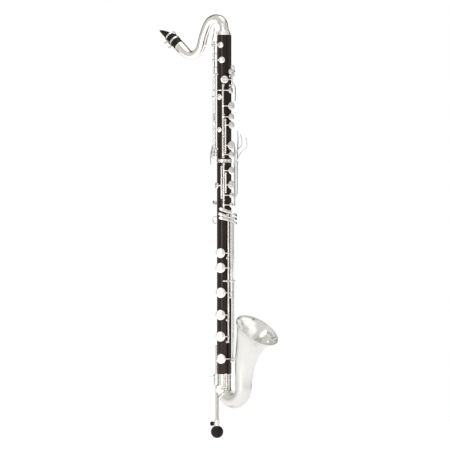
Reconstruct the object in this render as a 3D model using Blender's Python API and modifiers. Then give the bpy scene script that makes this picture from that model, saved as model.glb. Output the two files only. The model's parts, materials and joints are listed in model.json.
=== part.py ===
"""Low-C bass clarinet, built from its separate pieces.

Frame: metres, +Z up. The origin is the flat spot under the floor peg's rubber ball, +X is the
side that the bell faces, and +Y is the player's left. The wooden body stands upright at X = AXIS_X.
Lengths in this file are in millimetres, and MM turns them into metres. A place round the body is
given by its angle in degrees from +X, its distance from the body's axis, and its height.
"""
import math

import bmesh
import bpy
from mathutils import Matrix, Vector

MM = 0.001
GAP = 0.3                # running gap between pieces that touch

# Wooden body
AXIS_X = 26.6            # body axis, in front of the floor peg's axis
WOOD_R = 19.0
BORE_R = 11.8
LOWER_BOTTOM = 170.0
JOINT_Z = 739.0          # where the upper joint stands on the lower joint
UPPER_TOP = 1068.0
TENON_R = 13.8
TENON_LENGTH = 24.0
SOCKET_R = 15.2
BOW_TENON_R = 14.6
BOW_TENON_LENGTH = 20.0
TONE_HOLE_R = 5.0
RING_IN_R = 17.9
RING_HEIGHT = 9.0
LOW_HOLE_R = 8.0
# Tone holes: angle, height and radius
UPPER_HOLES = [(5, 921, TONE_HOLE_R), (5, 880, TONE_HOLE_R), (5, 851, TONE_HOLE_R),
               (5, 829, TONE_HOLE_R), (5, 774, TONE_HOLE_R), (5, 751, TONE_HOLE_R),
               (-42, 950, TONE_HOLE_R), (-3, 971, 4.0), (-80, 904, 4.0), (-80, 817, 3.6),
               (-70, 1041.5, 3.6), (-61, 1001.7, 4.0)]
LOWER_HOLES = [(-70, z, LOW_HOLE_R) for z in (490, 451, 385, 326, 269, 210)]
LOWER_HOLES += [(5, 708.4, TONE_HOLE_R), (5, 670.5, 6.0), (5, 643.2, 3.6), (5, 617.5, 3.4),
                (-105, 669, 4.2)]

# Metal tubes
NECK_R = 11.25
NECK_TENON_R = 10.6
RECEIVER_R = 14.5
TUBE_WALL = 1.0
BOW_R = 17.5

# Keywork
ROD_R = 1.2
TUBE_R = 2.3
POST_R = 2.2
KEY_BORE_R = ROD_R + GAP
SEAT_R = 20.8            # distance of a closed pad's face from the body axis
CUP_HEIGHT = 4.6
ARM_R = 1.5

# Floor peg
PEG_R = 4.0
PEG_BOTTOM = 34.0
PEG_TOP = 246.0
BALL_R = 16.6
BALL_Z = 16.2
COLLAR_R = 6.75
FOOT_SCREW_Z = 37.5
CLAMP_Z = 163.0

# Thumb screws
SCREW_R = 1.5
WING = 2.4               # thickness of a wing
NECK_SCREW_Z = UPPER_TOP + 5.5

# Thumb rest and strap ring
REST_BOTTOM = 618.0
REST_HEIGHT = 22.0
LEDGE_WIDTH = 16.0
LEDGE_DEPTH = 18.0
LEDGE_THICKNESS = 3.6
STRAP_Z = 577.0
STRAP_LOOP_R = 9.5
STRAP_WIRE_R = 1.9

SILVER = ((0.92, 0.90, 0.87, 1.0), 0.12, 1.0)
SATIN = ((0.87, 0.86, 0.84, 1.0), 0.38, 1.0)
WOOD = ((0.035, 0.022, 0.020, 1.0), 0.35, 0.0)
EBONITE = ((0.012, 0.011, 0.012, 1.0), 0.18, 0.0)
CORK = ((0.55, 0.38, 0.22, 1.0), 0.85, 0.0)
CANE = ((0.80, 0.66, 0.40, 1.0), 0.55, 0.0)
RUBBER = ((0.030, 0.026, 0.024, 1.0), 0.60, 0.0)


def clear_scene():
    for thing in list(bpy.data.objects):
        bpy.data.objects.remove(thing, do_unlink=True)


def new_collection(name):
    collection = bpy.data.collections.new(name)
    bpy.context.scene.collection.children.link(collection)
    return collection


clear_scene()
PARTS = new_collection("bass_clarinet")
CUTTERS = new_collection("cutters")


# ---------------------------------------------------------------- places

def around(angle, radius, z):
    """The point at an angle and a distance from the body's axis."""
    turn = math.radians(angle)
    return Vector((AXIS_X + radius * math.cos(turn), radius * math.sin(turn), z)) * MM


def side(x, z, y=0.0):
    """A point in the middle plane, x in front of the body's axis."""
    return Vector((AXIS_X + x, y, z)) * MM


def smooth_path(points, per_span):
    """A Catmull-Rom curve through the points; each point is a tuple of any length."""
    ends = [points[0]] + list(points) + [points[-1]]
    path = []
    for i in range(len(points) - 1):
        a, b, c, d = (ends[i + k] for k in range(4))
        for step in range(per_span):
            t = step / per_span
            path.append(tuple(
                0.5 * (2 * q + (r - p) * t + (2 * p - 5 * q + 4 * r - s) * t * t
                       + (3 * q - p - 3 * r + s) * t ** 3)
                for p, q, r, s in zip(a, b, c, d)))
    path.append(tuple(points[-1]))
    return path


# ---------------------------------------------------------------- solids

def mesh_object(name, mesh):
    thing = bpy.data.objects.new(name, mesh)
    PARTS.objects.link(thing)
    return thing


def from_bmesh(name, bm, closed=True):
    """An object from a bmesh whose faces are turned to point out."""
    bmesh.ops.recalc_face_normals(bm, faces=bm.faces)
    if closed and bm.calc_volume(signed=True) < 0:
        bmesh.ops.reverse_faces(bm, faces=bm.faces)
    mesh = bpy.data.meshes.new(name)
    bm.to_mesh(mesh)
    bm.free()
    return mesh_object(name, mesh)


def cone(start, end, r_start, r_end, sides=12, name="solid"):
    """A cylinder or cone between two points in metres, its radii in millimetres."""
    start, end = Vector(start), Vector(end)
    along = end - start
    bm = bmesh.new()
    bmesh.ops.create_cone(bm, cap_ends=True, segments=sides, radius1=r_start * MM,
                          radius2=r_end * MM, depth=along.length)
    turn = along.to_track_quat("Z", "Y").to_matrix().to_4x4()
    bm.transform(Matrix.Translation((start + end) / 2) @ turn)
    return from_bmesh(name, bm)


def block(centre, size, turn=0.0, name="solid"):
    """A box turned about +Z; centre in metres, size in millimetres."""
    bm = bmesh.new()
    bmesh.ops.create_cube(bm, size=1.0)
    scale = Matrix.Diagonal((*(Vector(size) * MM), 1.0))
    bm.transform(Matrix.Translation(centre) @ Matrix.Rotation(math.radians(turn), 4, "Z") @ scale)
    return from_bmesh(name, bm)


def evaluated_mesh(thing):
    bpy.context.view_layer.update()
    graph = bpy.context.evaluated_depsgraph_get()
    return bpy.data.meshes.new_from_object(thing.evaluated_get(graph))


def bar(points, radius, resolution=0, name="solid"):
    """A wire along points in metres; a resolution of 0 gives it four sides."""
    curve = bpy.data.curves.new(name, "CURVE")
    curve.dimensions = "3D"
    curve.bevel_depth = radius * MM
    curve.bevel_resolution = resolution
    curve.use_fill_caps = True
    spline = curve.splines.new("POLY")
    spline.points.add(len(points) - 1)
    for spot, point in zip(spline.points, points):
        spot.co = (*point, 1.0)
    wire = bpy.data.objects.new(name, curve)
    PARTS.objects.link(wire)
    mesh = evaluated_mesh(wire)
    bpy.data.objects.remove(wire, do_unlink=True)
    bm = bmesh.new()
    bm.from_mesh(mesh)
    bmesh.ops.remove_doubles(bm, verts=bm.verts, dist=1e-6)
    bpy.data.meshes.remove(mesh)
    return from_bmesh(name, bm)


def combine(first, others, operation):
    """The first solid joined to, or cut by, each of the others, which are then removed."""
    for other in others:
        boolean = first.modifiers.new("boolean", "BOOLEAN")
        boolean.operation = operation
        boolean.solver = "EXACT"
        boolean.use_self = operation == "UNION"    # wires may fold into themselves
        boolean.object = other
        mesh = evaluated_mesh(first)
        first.modifiers.clear()
        first.data = mesh
        bpy.data.objects.remove(other, do_unlink=True)
    return first


def turned(name, profile, sides, centre_x=AXIS_X):
    """A ring turned about an upright axis; the profile runs down outside and up inside."""
    mesh = bpy.data.meshes.new(name)
    count = len(profile)
    mesh.from_pydata([(r * MM, 0.0, z * MM) for r, z in profile],
                     [(i, (i + 1) % count) for i in range(count)], [])
    ring = mesh_object(name, mesh)
    screw = ring.modifiers.new("turn", "SCREW")
    screw.axis = "Z"
    screw.angle = math.tau
    screw.steps = sides
    screw.render_steps = sides
    screw.use_merge_vertices = True
    screw.merge_threshold = 0.00001
    ring.location.x = centre_x * MM
    return ring


def settled(ring):
    """Apply a turned ring's modifiers and place, so that it can be cut."""
    mesh = evaluated_mesh(ring)
    mesh.transform(ring.matrix_world)
    ring.modifiers.clear()
    ring.location = (0.0, 0.0, 0.0)
    ring.data = mesh
    bpy.context.view_layer.update()
    return ring


def tube_shell(name, stations, sides, wall=TUBE_WALL):
    """A metal tube in the middle plane. Each station is (x, z, radius)."""
    centres = [side(x, z) for x, z, _ in stations]
    bm = bmesh.new()
    rings = []
    last = len(centres) - 1
    for i, (_, _, radius) in enumerate(stations):
        if i == 0:
            ahead = 4 * centres[1] - 3 * centres[0] - centres[2]
        elif i == last:
            ahead = 3 * centres[last] - 4 * centres[last - 1] + centres[last - 2]
        else:
            ahead = centres[i + 1] - centres[i - 1]
        normal = Vector((0, 1, 0)).cross(ahead).normalized()
        ring = []
        for k in range(sides):
            turn = math.tau * k / sides
            offset = normal * math.cos(turn) + Vector((0, 1, 0)) * math.sin(turn)
            ring.append(bm.verts.new(centres[i] + offset * radius * MM))
        rings.append(ring)
    for low, high in zip(rings, rings[1:]):
        for k in range(sides):
            bm.faces.new((low[k], low[k - 1], high[k - 1], high[k]))
    shell = from_bmesh(name, bm, closed=False)
    solid = shell.modifiers.new("wall", "SOLIDIFY")
    solid.thickness = wall * MM
    solid.offset = -1.0
    shell.data = evaluated_mesh(shell)
    shell.modifiers.clear()
    return shell


# ---------------------------------------------------------------- finishing

def material(name, finish):
    colour, roughness, metallic = finish
    made = bpy.data.materials.new(name)
    made.use_nodes = True
    shader = made.node_tree.nodes["Principled BSDF"]
    shader.inputs["Base Color"].default_value = colour
    shader.inputs["Roughness"].default_value = roughness
    shader.inputs["Metallic"].default_value = metallic
    return made


def finished(thing, name, finish, origin=None):
    """Name a sub-part, give it its material, and put its origin on its joint's axis."""
    thing.name = name
    thing.data.name = name
    thing.data.materials.clear()
    thing.data.materials.append(material(name, finish))
    if origin is not None:
        thing.data.transform(Matrix.Translation(-Vector(origin)))
        thing.location = origin
    thing.data.shade_smooth()
    thing.data.set_sharp_from_angle(angle=math.radians(35))
    return thing


# ---------------------------------------------------------------- body

def wooden_joint(name, profile, holes):
    wood = settled(turned(name, profile, 28))
    cutters = [cone(around(angle, BORE_R - 2, z), around(angle, WOOD_R + 4, z), radius, radius, 10)
               for angle, z, radius in holes]
    return finished(combine(wood, cutters, "DIFFERENCE"), name, WOOD)


def upper_joint():
    shoulder = JOINT_Z + GAP
    profile = [(WOOD_R - 1.5, UPPER_TOP), (WOOD_R, UPPER_TOP - 1.5), (WOOD_R, shoulder + 1),
               (WOOD_R - 1, shoulder), (TENON_R, shoulder), (TENON_R, shoulder - TENON_LENGTH),
               (BORE_R, shoulder - TENON_LENGTH), (BORE_R, UPPER_TOP)]
    wooden_joint("upper_joint", profile, UPPER_HOLES)


def lower_joint():
    ring_bottom = JOINT_Z - RING_HEIGHT
    profile = [(RING_IN_R - GAP, JOINT_Z), (RING_IN_R - GAP, ring_bottom - GAP),
               (WOOD_R, ring_bottom - GAP), (WOOD_R, LOWER_BOTTOM + 1.5),
               (WOOD_R - 1.5, LOWER_BOTTOM), (BOW_TENON_R, LOWER_BOTTOM),
               (BOW_TENON_R, LOWER_BOTTOM - BOW_TENON_LENGTH),
               (BORE_R, LOWER_BOTTOM - BOW_TENON_LENGTH),
               (BORE_R, JOINT_Z - TENON_LENGTH - 2), (SOCKET_R, JOINT_Z - TENON_LENGTH - 2),
               (SOCKET_R, JOINT_Z)]
    wooden_joint("lower_joint", profile, LOWER_HOLES)


def ring(name, finish, inner, outer, bottom, top, sides=24):
    edge = min(0.5, (outer - inner) / 3)
    profile = [(outer - edge, top), (outer, top - edge), (outer, bottom + edge),
               (outer - edge, bottom), (inner, bottom), (inner, top)]
    finished(settled(turned(name, profile, sides)), name, finish)


def rings_and_corks():
    ring("joint_ring", SILVER, RING_IN_R, WOOD_R + 1.0, JOINT_Z - RING_HEIGHT, JOINT_Z, 28)
    ring("tenon_cork", CORK, TENON_R + GAP, SOCKET_R - GAP, JOINT_Z - 20, JOINT_Z - 4)
    ring("bow_cork", CORK, BOW_TENON_R + GAP, BOW_R - TUBE_WALL - GAP, LOWER_BOTTOM - 17,
         LOWER_BOTTOM - 4)
    ring("neck_cork", CORK, NECK_TENON_R + GAP, BORE_R - GAP, UPPER_TOP - 20, UPPER_TOP - 4)
    profile = [(15.5, UPPER_TOP + 10), (16.2, UPPER_TOP + 9), (16.2, UPPER_TOP + 5),
               (17.6, UPPER_TOP + 4), (17.6, UPPER_TOP + GAP), (BORE_R, UPPER_TOP + GAP),
               (BORE_R, UPPER_TOP + 10)]
    socket = settled(turned("neck_socket", profile, 24))
    boss = cone(around(180, 14, NECK_SCREW_Z), around(180, 21, NECK_SCREW_Z), 3.6, 3.6, 10)
    hole = cone(around(180, 10, NECK_SCREW_Z), around(180, 25, NECK_SCREW_Z),
                SCREW_R + GAP, SCREW_R + GAP, 8)
    combine(combine(socket, [boss], "UNION"), [hole], "DIFFERENCE")
    finished(socket, "neck_socket", SILVER)



# ---------------------------------------------------------------- bow, bell and peg

# The bow and the start of the bell follow a half circle; then the bell flares up and forward.
BEND_R = 36.0
BEND_Z = 134.5
BEND_SPLIT = 218.0       # angle along the half circle where the bell meets the bow
SPLIT_GAP = 0.6          # degrees
BELL_FLARE = [(72.6, 152.0, 22.4), (75.2, 178.0, 24.6), (80.0, 205, 28.2), (87.6, 226.5, 32.4),
              (96.2, 246, 37.8), (106.0, 263.5, 45.0), (115.0, 276.4, 52.8), (122.2, 285.4, 61.3)]
RIM_BEAD_R = 1.7


def torus(name, centre, axis, major, minor, sides):
    bpy.ops.mesh.primitive_torus_add(major_segments=sides, minor_segments=6,
                                     major_radius=major * MM, minor_radius=minor * MM)
    made = bpy.context.active_object
    made.name = name
    for home in list(made.users_collection):
        home.objects.unlink(made)
    PARTS.objects.link(made)
    turn = Vector(axis).to_track_quat("Z", "Y").to_matrix().to_4x4()
    made.data.transform(Matrix.Translation(centre) @ turn)
    return made


def bend_station(angle, extra=0.0):
    """A station on the half circle; the tube widens slowly along it."""
    turn = math.radians(angle)
    radius = BOW_R + 4.2 * (angle - 180.0) / 180.0 + extra
    return (BEND_R + BEND_R * math.cos(turn), BEND_Z + BEND_R * math.sin(turn), radius)


def bow_and_bell():
    bow_end, bell_start = BEND_SPLIT - SPLIT_GAP, BEND_SPLIT + SPLIT_GAP
    bow = [(0, LOWER_BOTTOM - 0.6, BOW_R), (0, 151.0, BOW_R)]
    bow += [bend_station(180 + (bow_end - 180) * k / 4) for k in range(5)]
    finished(tube_shell("bow", bow, 24), "bow", SILVER)
    stations = [bend_station(bell_start + (360 - bell_start) * k / 9) for k in range(10)]
    stations += BELL_FLARE
    bell = tube_shell("bell", stations, 24)
    before, end = (side(x, z) for x, z, _ in stations[-2:])
    axis = (end - before).normalized()
    bead = torus("bead", end + axis * 0.4 * MM, axis, stations[-1][2] - 0.7, RIM_BEAD_R, 31)
    finished(combine(bell, [bead], "UNION"), "bell", SATIN)
    band = [bend_station(BEND_SPLIT + turn, 3.5) for turn in (-5.5, 0, 5.5)]
    finished(tube_shell("bow_ring", band, 24, 2.0), "bow_ring", SILVER)


def peg_holder():
    sleeve = cone((0, 0, 0.141), (0, 0, 0.170), 8.0, 8.0, 14)
    bracket = block((0.0064, 0, 0.1555), (9.0 - 2.4, 11.0, 22.0))
    boss = cone(Vector((-6, 0, CLAMP_Z)) * MM, Vector((-10.5, 0, CLAMP_Z)) * MM, 4.2, 4.2, 10)
    joined = combine(sleeve, [bracket, boss], "UNION")
    bore = cone((0, 0, 0.130), (0, 0, 0.180), PEG_R + GAP, PEG_R + GAP, 14)
    screw_way = cone(Vector((-1, 0, CLAMP_Z)) * MM, Vector((-20, 0, CLAMP_Z)) * MM,
                     SCREW_R + GAP, SCREW_R + GAP, 8)
    bow_way = cone((AXIS_X * MM, 0, 0.130), (AXIS_X * MM, 0, 0.180), BOW_R + GAP, BOW_R + GAP, 40)
    finished(combine(joined, [bore, screw_way, bow_way], "DIFFERENCE"), "peg_holder", SILVER)


def thumb_screw(name, start, shaft, head_r, head, origin, wing=None):
    """A screw from a start point along -X, with a round head or an upright or flat wing."""
    neck = start + Vector((-shaft * MM, 0, 0))
    end = neck + Vector((-head * MM, 0, 0))
    stem = cone(start, neck - Vector((MM, 0, 0)), SCREW_R, SCREW_R, 8)
    if wing:
        size = (head, WING, 2 * head_r) if wing == "upright" else (head, 2 * head_r, WING)
        grip = block((neck + end) / 2, size)
    else:
        grip = cone(neck, end, head_r * 0.72, head_r, 14)
    finished(combine(stem, [grip], "UNION"), name, SILVER if wing else RUBBER, origin)


def peg():
    rod = cone((0, 0, PEG_BOTTOM * MM), (0, 0, PEG_TOP * MM), PEG_R, PEG_R, 12)
    finished(rod, "peg_rod", SILVER, (0, 0, PEG_BOTTOM * MM))
    collar = settled(turned("foot_collar", [(COLLAR_R, 48.5), (COLLAR_R, 31.0),
                                            (PEG_R + GAP, 31.0), (PEG_R + GAP, 48.5)], 16, 0.0))
    way = cone(Vector((-2, 0, FOOT_SCREW_Z)) * MM, Vector((-12, 0, FOOT_SCREW_Z)) * MM,
               SCREW_R + GAP, SCREW_R + GAP, 8)
    finished(combine(collar, [way], "DIFFERENCE"), "foot_collar", SILVER, (0, 0, 0))
    bm = bmesh.new()
    bmesh.ops.create_uvsphere(bm, u_segments=18, v_segments=12, radius=BALL_R * MM)
    bm.transform(Matrix.Translation((0, 0, BALL_Z * MM)))
    ball = from_bmesh("foot_ball", bm)
    floor = block((0, 0, -0.010), (60, 60, 20))
    socket = cone((0, 0, (31.0 - GAP) * MM), (0, 0, 0.050), COLLAR_R + GAP, COLLAR_R + GAP, 16)
    finished(combine(ball, [floor, socket], "DIFFERENCE"), "foot_ball", RUBBER, (0, 0, 0))
    for name, z, shaft, wing in (("foot_screw", FOOT_SCREW_Z, 4.2, None),
                                 ("peg_clamp_screw", CLAMP_Z, 8.0, "flat")):
        start = Vector((-(PEG_R + GAP), 0, z)) * MM
        thumb_screw(name, start, shaft, 6.5, 13.0, Vector((-6, 0, z)) * MM, wing)


# ---------------------------------------------------------------- neck and mouthpiece

NECK_STATIONS = [(0, UPPER_TOP - 22), (0, UPPER_TOP - 8), (0, UPPER_TOP + 2), (0, 1086),
                 (-3.5, 1099), (-12, 1107.5), (-22, 1111), (-34, 1112), (-47, 1108.5),
                 (-57, 1101.5), (-66, 1090), (-73, 1076), (-80, 1060), (-86, 1042),
                 (-94, 1028), (-107, 1018.5), (-122, 1015.5), (-137, 1019.5), (-152, 1028.8),
                 (-168, 1041)]
GUARD = [(-56.6, 1086.0), (-53.5, 1080), (-59.5, 1062), (-66, 1045), (-75.6, 1038)]
MOUTH_TILT = 37.5
MOUTH_ROOT = (-166.6, 1039.6)     # centre of the neck's receiver
MOUTH_LENGTH = 84.0
MOUTH_R = 14.6
MOUTH_TENON_R = 11.2
MOUTH_TENON = 16.0
LIGATURE_SCREWS = (22.5, 42.5)
LIGATURE_SCREW_DOWN = 20.7


def mouth_point(along, down=0.0, across=0.0):
    """A point on the mouthpiece: along its axis to the tip, down to the reed, and across."""
    turn = math.radians(MOUTH_TILT)
    x = MOUTH_ROOT[0] - along * math.cos(turn) - down * math.sin(turn)
    z = MOUTH_ROOT[1] + along * math.sin(turn) - down * math.cos(turn)
    return side(x, z, across)


def neck():
    stations = []
    for i, (x, z) in enumerate(NECK_STATIONS):
        from_end = len(NECK_STATIONS) - 1 - i
        radius = NECK_TENON_R if i < 3 else NECK_R
        if from_end < 3:
            radius = (RECEIVER_R, RECEIVER_R - 0.3, 12.6)[from_end]
        stations.append((x, z, radius))
    tube = tube_shell("neck", stations, 16)
    brace_points = [side(*place) for place in GUARD]
    guard = bar(brace_points, 2.0)
    finished(combine(tube, [guard], "UNION"), "neck", SILVER, side(0, UPPER_TOP))


def mouthpiece():
    """An ebonite tube whose beak slopes from the top to the tip, with a flat table below."""
    start = MOUTH_TENON
    body = cone(mouth_point(-start), mouth_point(MOUTH_LENGTH - 20), MOUTH_TENON_R, MOUTH_TENON_R, 20)
    outer = cone(mouth_point(3.0), mouth_point(MOUTH_LENGTH), MOUTH_R, MOUTH_R - 1.2, 20)
    joined = combine(body, [outer], "UNION")
    beak = wedge([(32, -30), (32, -13.9), (MOUTH_LENGTH + 0.5, 8.0), (MOUTH_LENGTH + 9, 8.0),
                  (MOUTH_LENGTH + 9, -30)], 20.0)
    table = wedge([(8, 30), (8, 10.2), (60, 10.2), (MOUTH_LENGTH + 2, 9.4),
                   (MOUTH_LENGTH + 9, 9.4), (MOUTH_LENGTH + 9, 30)], 20.0)
    window = wedge([(44, 2), (44, 14), (MOUTH_LENGTH - 3, 14), (MOUTH_LENGTH - 3, 8.6)], 5.5)
    bore = cone(mouth_point(-start - 5), mouth_point(46), 8.0, 6.5, 14)
    combine(joined, [beak, table, window, bore], "DIFFERENCE")
    finished(joined, "mouthpiece", EBONITE, mouth_point(0))
    reed = wedge([(14, 10.5), (14, 13.2), (44, 13.0), (MOUTH_LENGTH - 1, 10.0),
                  (MOUTH_LENGTH - 1, 9.75), (60, 10.5)], 6.4)
    finished(reed, "reed", CANE, mouth_point(0))


def wedge(outline, half_width):
    """An outline of (along, down) points on the mouthpiece's middle plane, made thick."""
    bm = bmesh.new()
    near = [bm.verts.new(mouth_point(a, d, -half_width)) for a, d in outline]
    bm.faces.new(near)
    made = bmesh.ops.extrude_face_region(bm, geom=list(bm.faces))
    moved = [v for v in made["geom"] if isinstance(v, bmesh.types.BMVert)]
    bmesh.ops.translate(bm, verts=moved, vec=(0, 2 * half_width * MM, 0))
    return from_bmesh("wedge", bm)


def ligature():
    """Two bands round mouthpiece and reed, joined by a plate that the screws go through."""
    solids = []
    for along in LIGATURE_SCREWS:
        solids.append(cone(mouth_point(along - 2.5), mouth_point(along + 2.5), 16.4, 16.4, 22))
    low, high = LIGATURE_SCREWS[0] - 2.5, LIGATURE_SCREWS[1] + 2.5
    spine = wedge([(low, 14.2), (low, 17.5), (high, 17.5), (high, 14.2)], 4.5)
    posts = [cone(mouth_point(a, 15), mouth_point(a, LIGATURE_SCREW_DOWN + 2.5), 3.0, 3.0, 8)
             for a in LIGATURE_SCREWS]
    joined = combine(solids[0], [solids[1], spine] + posts, "UNION")
    cutter = cone(mouth_point(5), mouth_point(55), 15.4, 15.4, 22)
    down = LIGATURE_SCREW_DOWN
    holes = [cone(mouth_point(a, down, -12), mouth_point(a, down, 12), 1.0 + GAP, 1.0 + GAP, 8)
             for a in LIGATURE_SCREWS]
    combine(joined, [cutter] + holes, "DIFFERENCE")
    finished(joined, "ligature", SILVER, mouth_point(0))
    for number, along in enumerate(LIGATURE_SCREWS, 1):
        shaft = cone(mouth_point(along, down, -7.0), mouth_point(along, down, 6.0), 1.0, 1.0, 8)
        head = cone(mouth_point(along, down, -6.5), mouth_point(along, down, -11), 2.6, 2.9, 12)
        finished(combine(shaft, [head], "UNION"), f"ligature_screw_{number}", SILVER,
                 mouth_point(along, down))


def neck_screw():
    thumb_screw("neck_clamp_screw", around(180, NECK_TENON_R + 1.6, NECK_SCREW_Z), 10.5, 4.6,
                7.0, around(180, 16, NECK_SCREW_Z), "upright")


# ---------------------------------------------------------------- keywork

# A hinge line: name, angle, distance from the body axis, heights of its posts.
HINGE_LINES = [
    ("rod_register", -145, 28.0, (1049, 748)),
    ("rod_vent", -128, 28.0, (1018, 981, 755)),
    ("rod_trill", -112, 27.5, (964, 767)),
    ("rod_throat", 5, 27.0, (959, 934)),
    ("rod_top_stack", 30, 26.5, (985, 961)),
    ("rod_left_stack", -52, 26.5, (935, 857, 799, 745)),
    ("rod_middle_stack", -38, 26.5, (843, 800, 757)),
    ("rod_side_cup", -61, 26.5, (718, 637)),
    ("rod_right_stack", -48, 26.5, (726, 690, 631, 604)),
    ("rod_short", -36, 26.5, (701, 652)),
    ("rod_low_first", -20, 26.5, (591, 477, 416, 313, 255)),
    ("rod_low_second", -2, 26.5, (601, 373)),
    ("rod_low_third", 20, 26.5, (584, 416, 204)),
    ("rod_bow", -32, 28.0, (168, 129.5)),
    ("rod_left_hand", 58, 29.0, (769, 702, 617)),
]

# A key: name, hinge line, tube's bottom and top, cups, wires. A cup is (angle, height, radius,
# how far it stands open), and a wire is a list of (angle, distance, height) from its hinge tube.
OPEN = 3.0
KEYS = [
    ("register_key", "rod_register", (751, 1046), [(-70, 1041.5, 8.0, 0)],
     [[(-148, 30, 756), (-158, 35, 760), (-172, 36, 768), (-180, 34, 777)],
      [(-145, 30, 1036), (-134, 32.5, 1042), (-134, 32, 1056), (-141, 28.5, 1068), (-145, 27, 1088)]]),
    ("vent_key", "rod_vent", (984, 1015), [(-61, 1001.7, 8.6, 0)], []),
    ("upper_side_key", "rod_vent", (758, 978), [(-80, 903.7, 8.0, 0)],
     [[(-128, 30, 764), (-127, 35, 759.5), (-125, 36.5, 742), (-124, 35.5, 724)]]),
    ("lower_side_key", "rod_trill", (770, 822), [(-80, 817, 7.0, 0)],
     [[(-112, 30, 776), (-111, 34.5, 771.5), (-109, 36, 756), (-108, 35, 741)]]),
    ("trill_key", "rod_trill", (825, 961), [(5, 921.1, 8.0, 0)],
     [[(-112, 29, 836), (-108, 32, 844), (-103, 33, 854), (-100, 32, 860)]]),
    ("throat_key", "rod_throat", (937, 956), [(-42, 949.8, 10.0, 0)],
     [[(8, 29, 941), (20, 31, 930), (27, 31, 912), (29, 30, 893)]]),
    ("thumb_hole_key", "rod_top_stack", (964, 982), [(-3, 971, 8.2, OPEN)], []),
    ("first_finger_key", "rod_left_stack", (860, 932), [(5, 879.8, 10.8, OPEN)], []),
    ("second_finger_key", "rod_left_stack", (802, 854), [(5, 850.7, 9.5, OPEN)], []),
    ("third_finger_key", "rod_middle_stack", (803, 840), [(5, 829.0, 9.5, OPEN)], []),
    ("bridge_key", "rod_middle_stack", (760, 797), [(5, 775.0, 12.0, OPEN)], []),
    ("joint_key", "rod_left_stack", (748, 796), [(5, 750.5, 9.0, OPEN)], []),
    ("fourth_finger_key", "rod_right_stack", (693, 723), [(5, 708.4, 10.0, OPEN)], []),
    ("fifth_finger_key", "rod_short", (655, 698), [(5, 670.5, 11.5, OPEN)], []),
    ("sixth_finger_key", "rod_right_stack", (634, 687), [(5, 643.2, 7.2, OPEN)], []),
    ("small_resonance_key", "rod_right_stack", (607, 628), [(5, 617.5, 6.8, OPEN)], []),
    ("side_cup_key", "rod_side_cup", (640, 715), [(-105, 669.0, 8.5, 0)], []),
    ("low_e_key", "rod_low_first", (480, 588), [(-70, 490, 13.0, OPEN)],
     [[(-20, 28.5, 584), (-30, 32, 586.5), (-52, 33.5, 591), (-74, 33, 595)],
      [(-20, 28.5, 584), (-10, 33.5, 583.5), (6, 34, 582), (24, 33.5, 580.5), (36, 33, 579.5)]]),
    ("low_e_flat_key", "rod_low_first", (419, 474), [(-70, 451, 13.5, OPEN)], []),
    ("low_d_key", "rod_low_second", (376, 598), [(-70, 385, 13.8, OPEN)],
     [[(-2, 28.5, 594), (-20, 33.5, 598.5), (-48, 35, 604), (-68, 34, 608)],
      [(-2, 28.5, 594), (8, 33, 592.5), (24, 33.5, 590.5), (36, 33, 589.5)]]),
    ("low_d_vent_key", "rod_low_first", (316, 413), [(-70, 326, 13.6, OPEN)], []),
    ("low_c_sharp_key", "rod_low_first", (258, 310), [(-70, 269, 13.3, OPEN)], []),
    ("low_lever", "rod_low_third", (419, 581), [],
     [[(20, 28.5, 571), (4, 34, 573), (-30, 35.5, 579), (-70, 34, 584)],
      [(20, 28.5, 571), (28, 32.5, 569.5), (37, 33, 568)]]),
    ("low_c_key", "rod_low_third", (207, 413), [(-70, 210, 13.0, OPEN)], []),
    ("bow_key", "rod_bow", (132.5, 165), [(-70, 129, 11.4, OPEN)], []),
    ("left_lever_upper", "rod_left_hand", (742, 766), [],
     [[(57, 31, 752), (53, 36, 764), (49, 43, 771), (46, 46.5, 778), (45, 46.5, 792), (44, 43, 806)]]),
    ("left_lever_middle", "rod_left_hand", (705, 736), [],
     [[(58, 31, 728), (56, 36, 738), (50, 41, 751), (46, 52, 763), (45, 59, 771), (45, 60, 783),
       (45, 57, 796)]]),
    ("left_lever_lower", "rod_left_hand", (620, 699), [],
     [[(59, 31, 640), (65, 37, 655), (69, 38, 715), (69, 39, 765), (66, 39.5, 785), (60, 38, 800),
       (54, 36, 814)]]),
]
BOW_SEAT_R = 23.4
BOW_KEYS = {"bow_key": BOW_SEAT_R}
BOW_FOOT_R = {168: 18.4, 129.5: 19.8}
# Neighbouring hinge lines stand on shared posts: a low strip joins one post of each line.
STRIP_R = 21.8
FRAMES = [
    ("left_rods", ("rod_register", "rod_vent", "rod_trill"), (748, 755, 767)),
    ("upper_stack_rods", ("rod_left_stack", "rod_middle_stack"), (799, 800)),
    ("lower_stack_rods", ("rod_side_cup", "rod_right_stack", "rod_short"), (637, 690, 701)),
    ("low_rods", ("rod_low_first", "rod_low_second", "rod_low_third"), (591, 601, 584)),
    ("throat_rods", ("rod_top_stack", "rod_throat"), (961, 959)),
    ("bow_rod", ("rod_bow",), ()),
    ("left_hand_rod", ("rod_left_hand",), ()),
]

# Arms that pass over other hinge lines need more room under them.
CLEARANCE = {"register_key": 33.5, "vent_key": 31.0, "upper_side_key": 32.8, "trill_key": 32.8,
             "low_d_key": 32.5, "low_c_key": 32.0}
# A bar that stands on the wood and arches over the three low lines.
BRIDGE = ((-54, 20.5, 416), (-52, 27, 416), (-38, 30, 416), (-20, 29.8, 416), (-10, 32.5, 416),
          (-2, 33.5, 416), (8, 32.5, 416), (20, 29.8, 416), (34, 29.5, 416))


def line_named(name):
    return next(entry for entry in HINGE_LINES if entry[0] == name)


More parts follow.
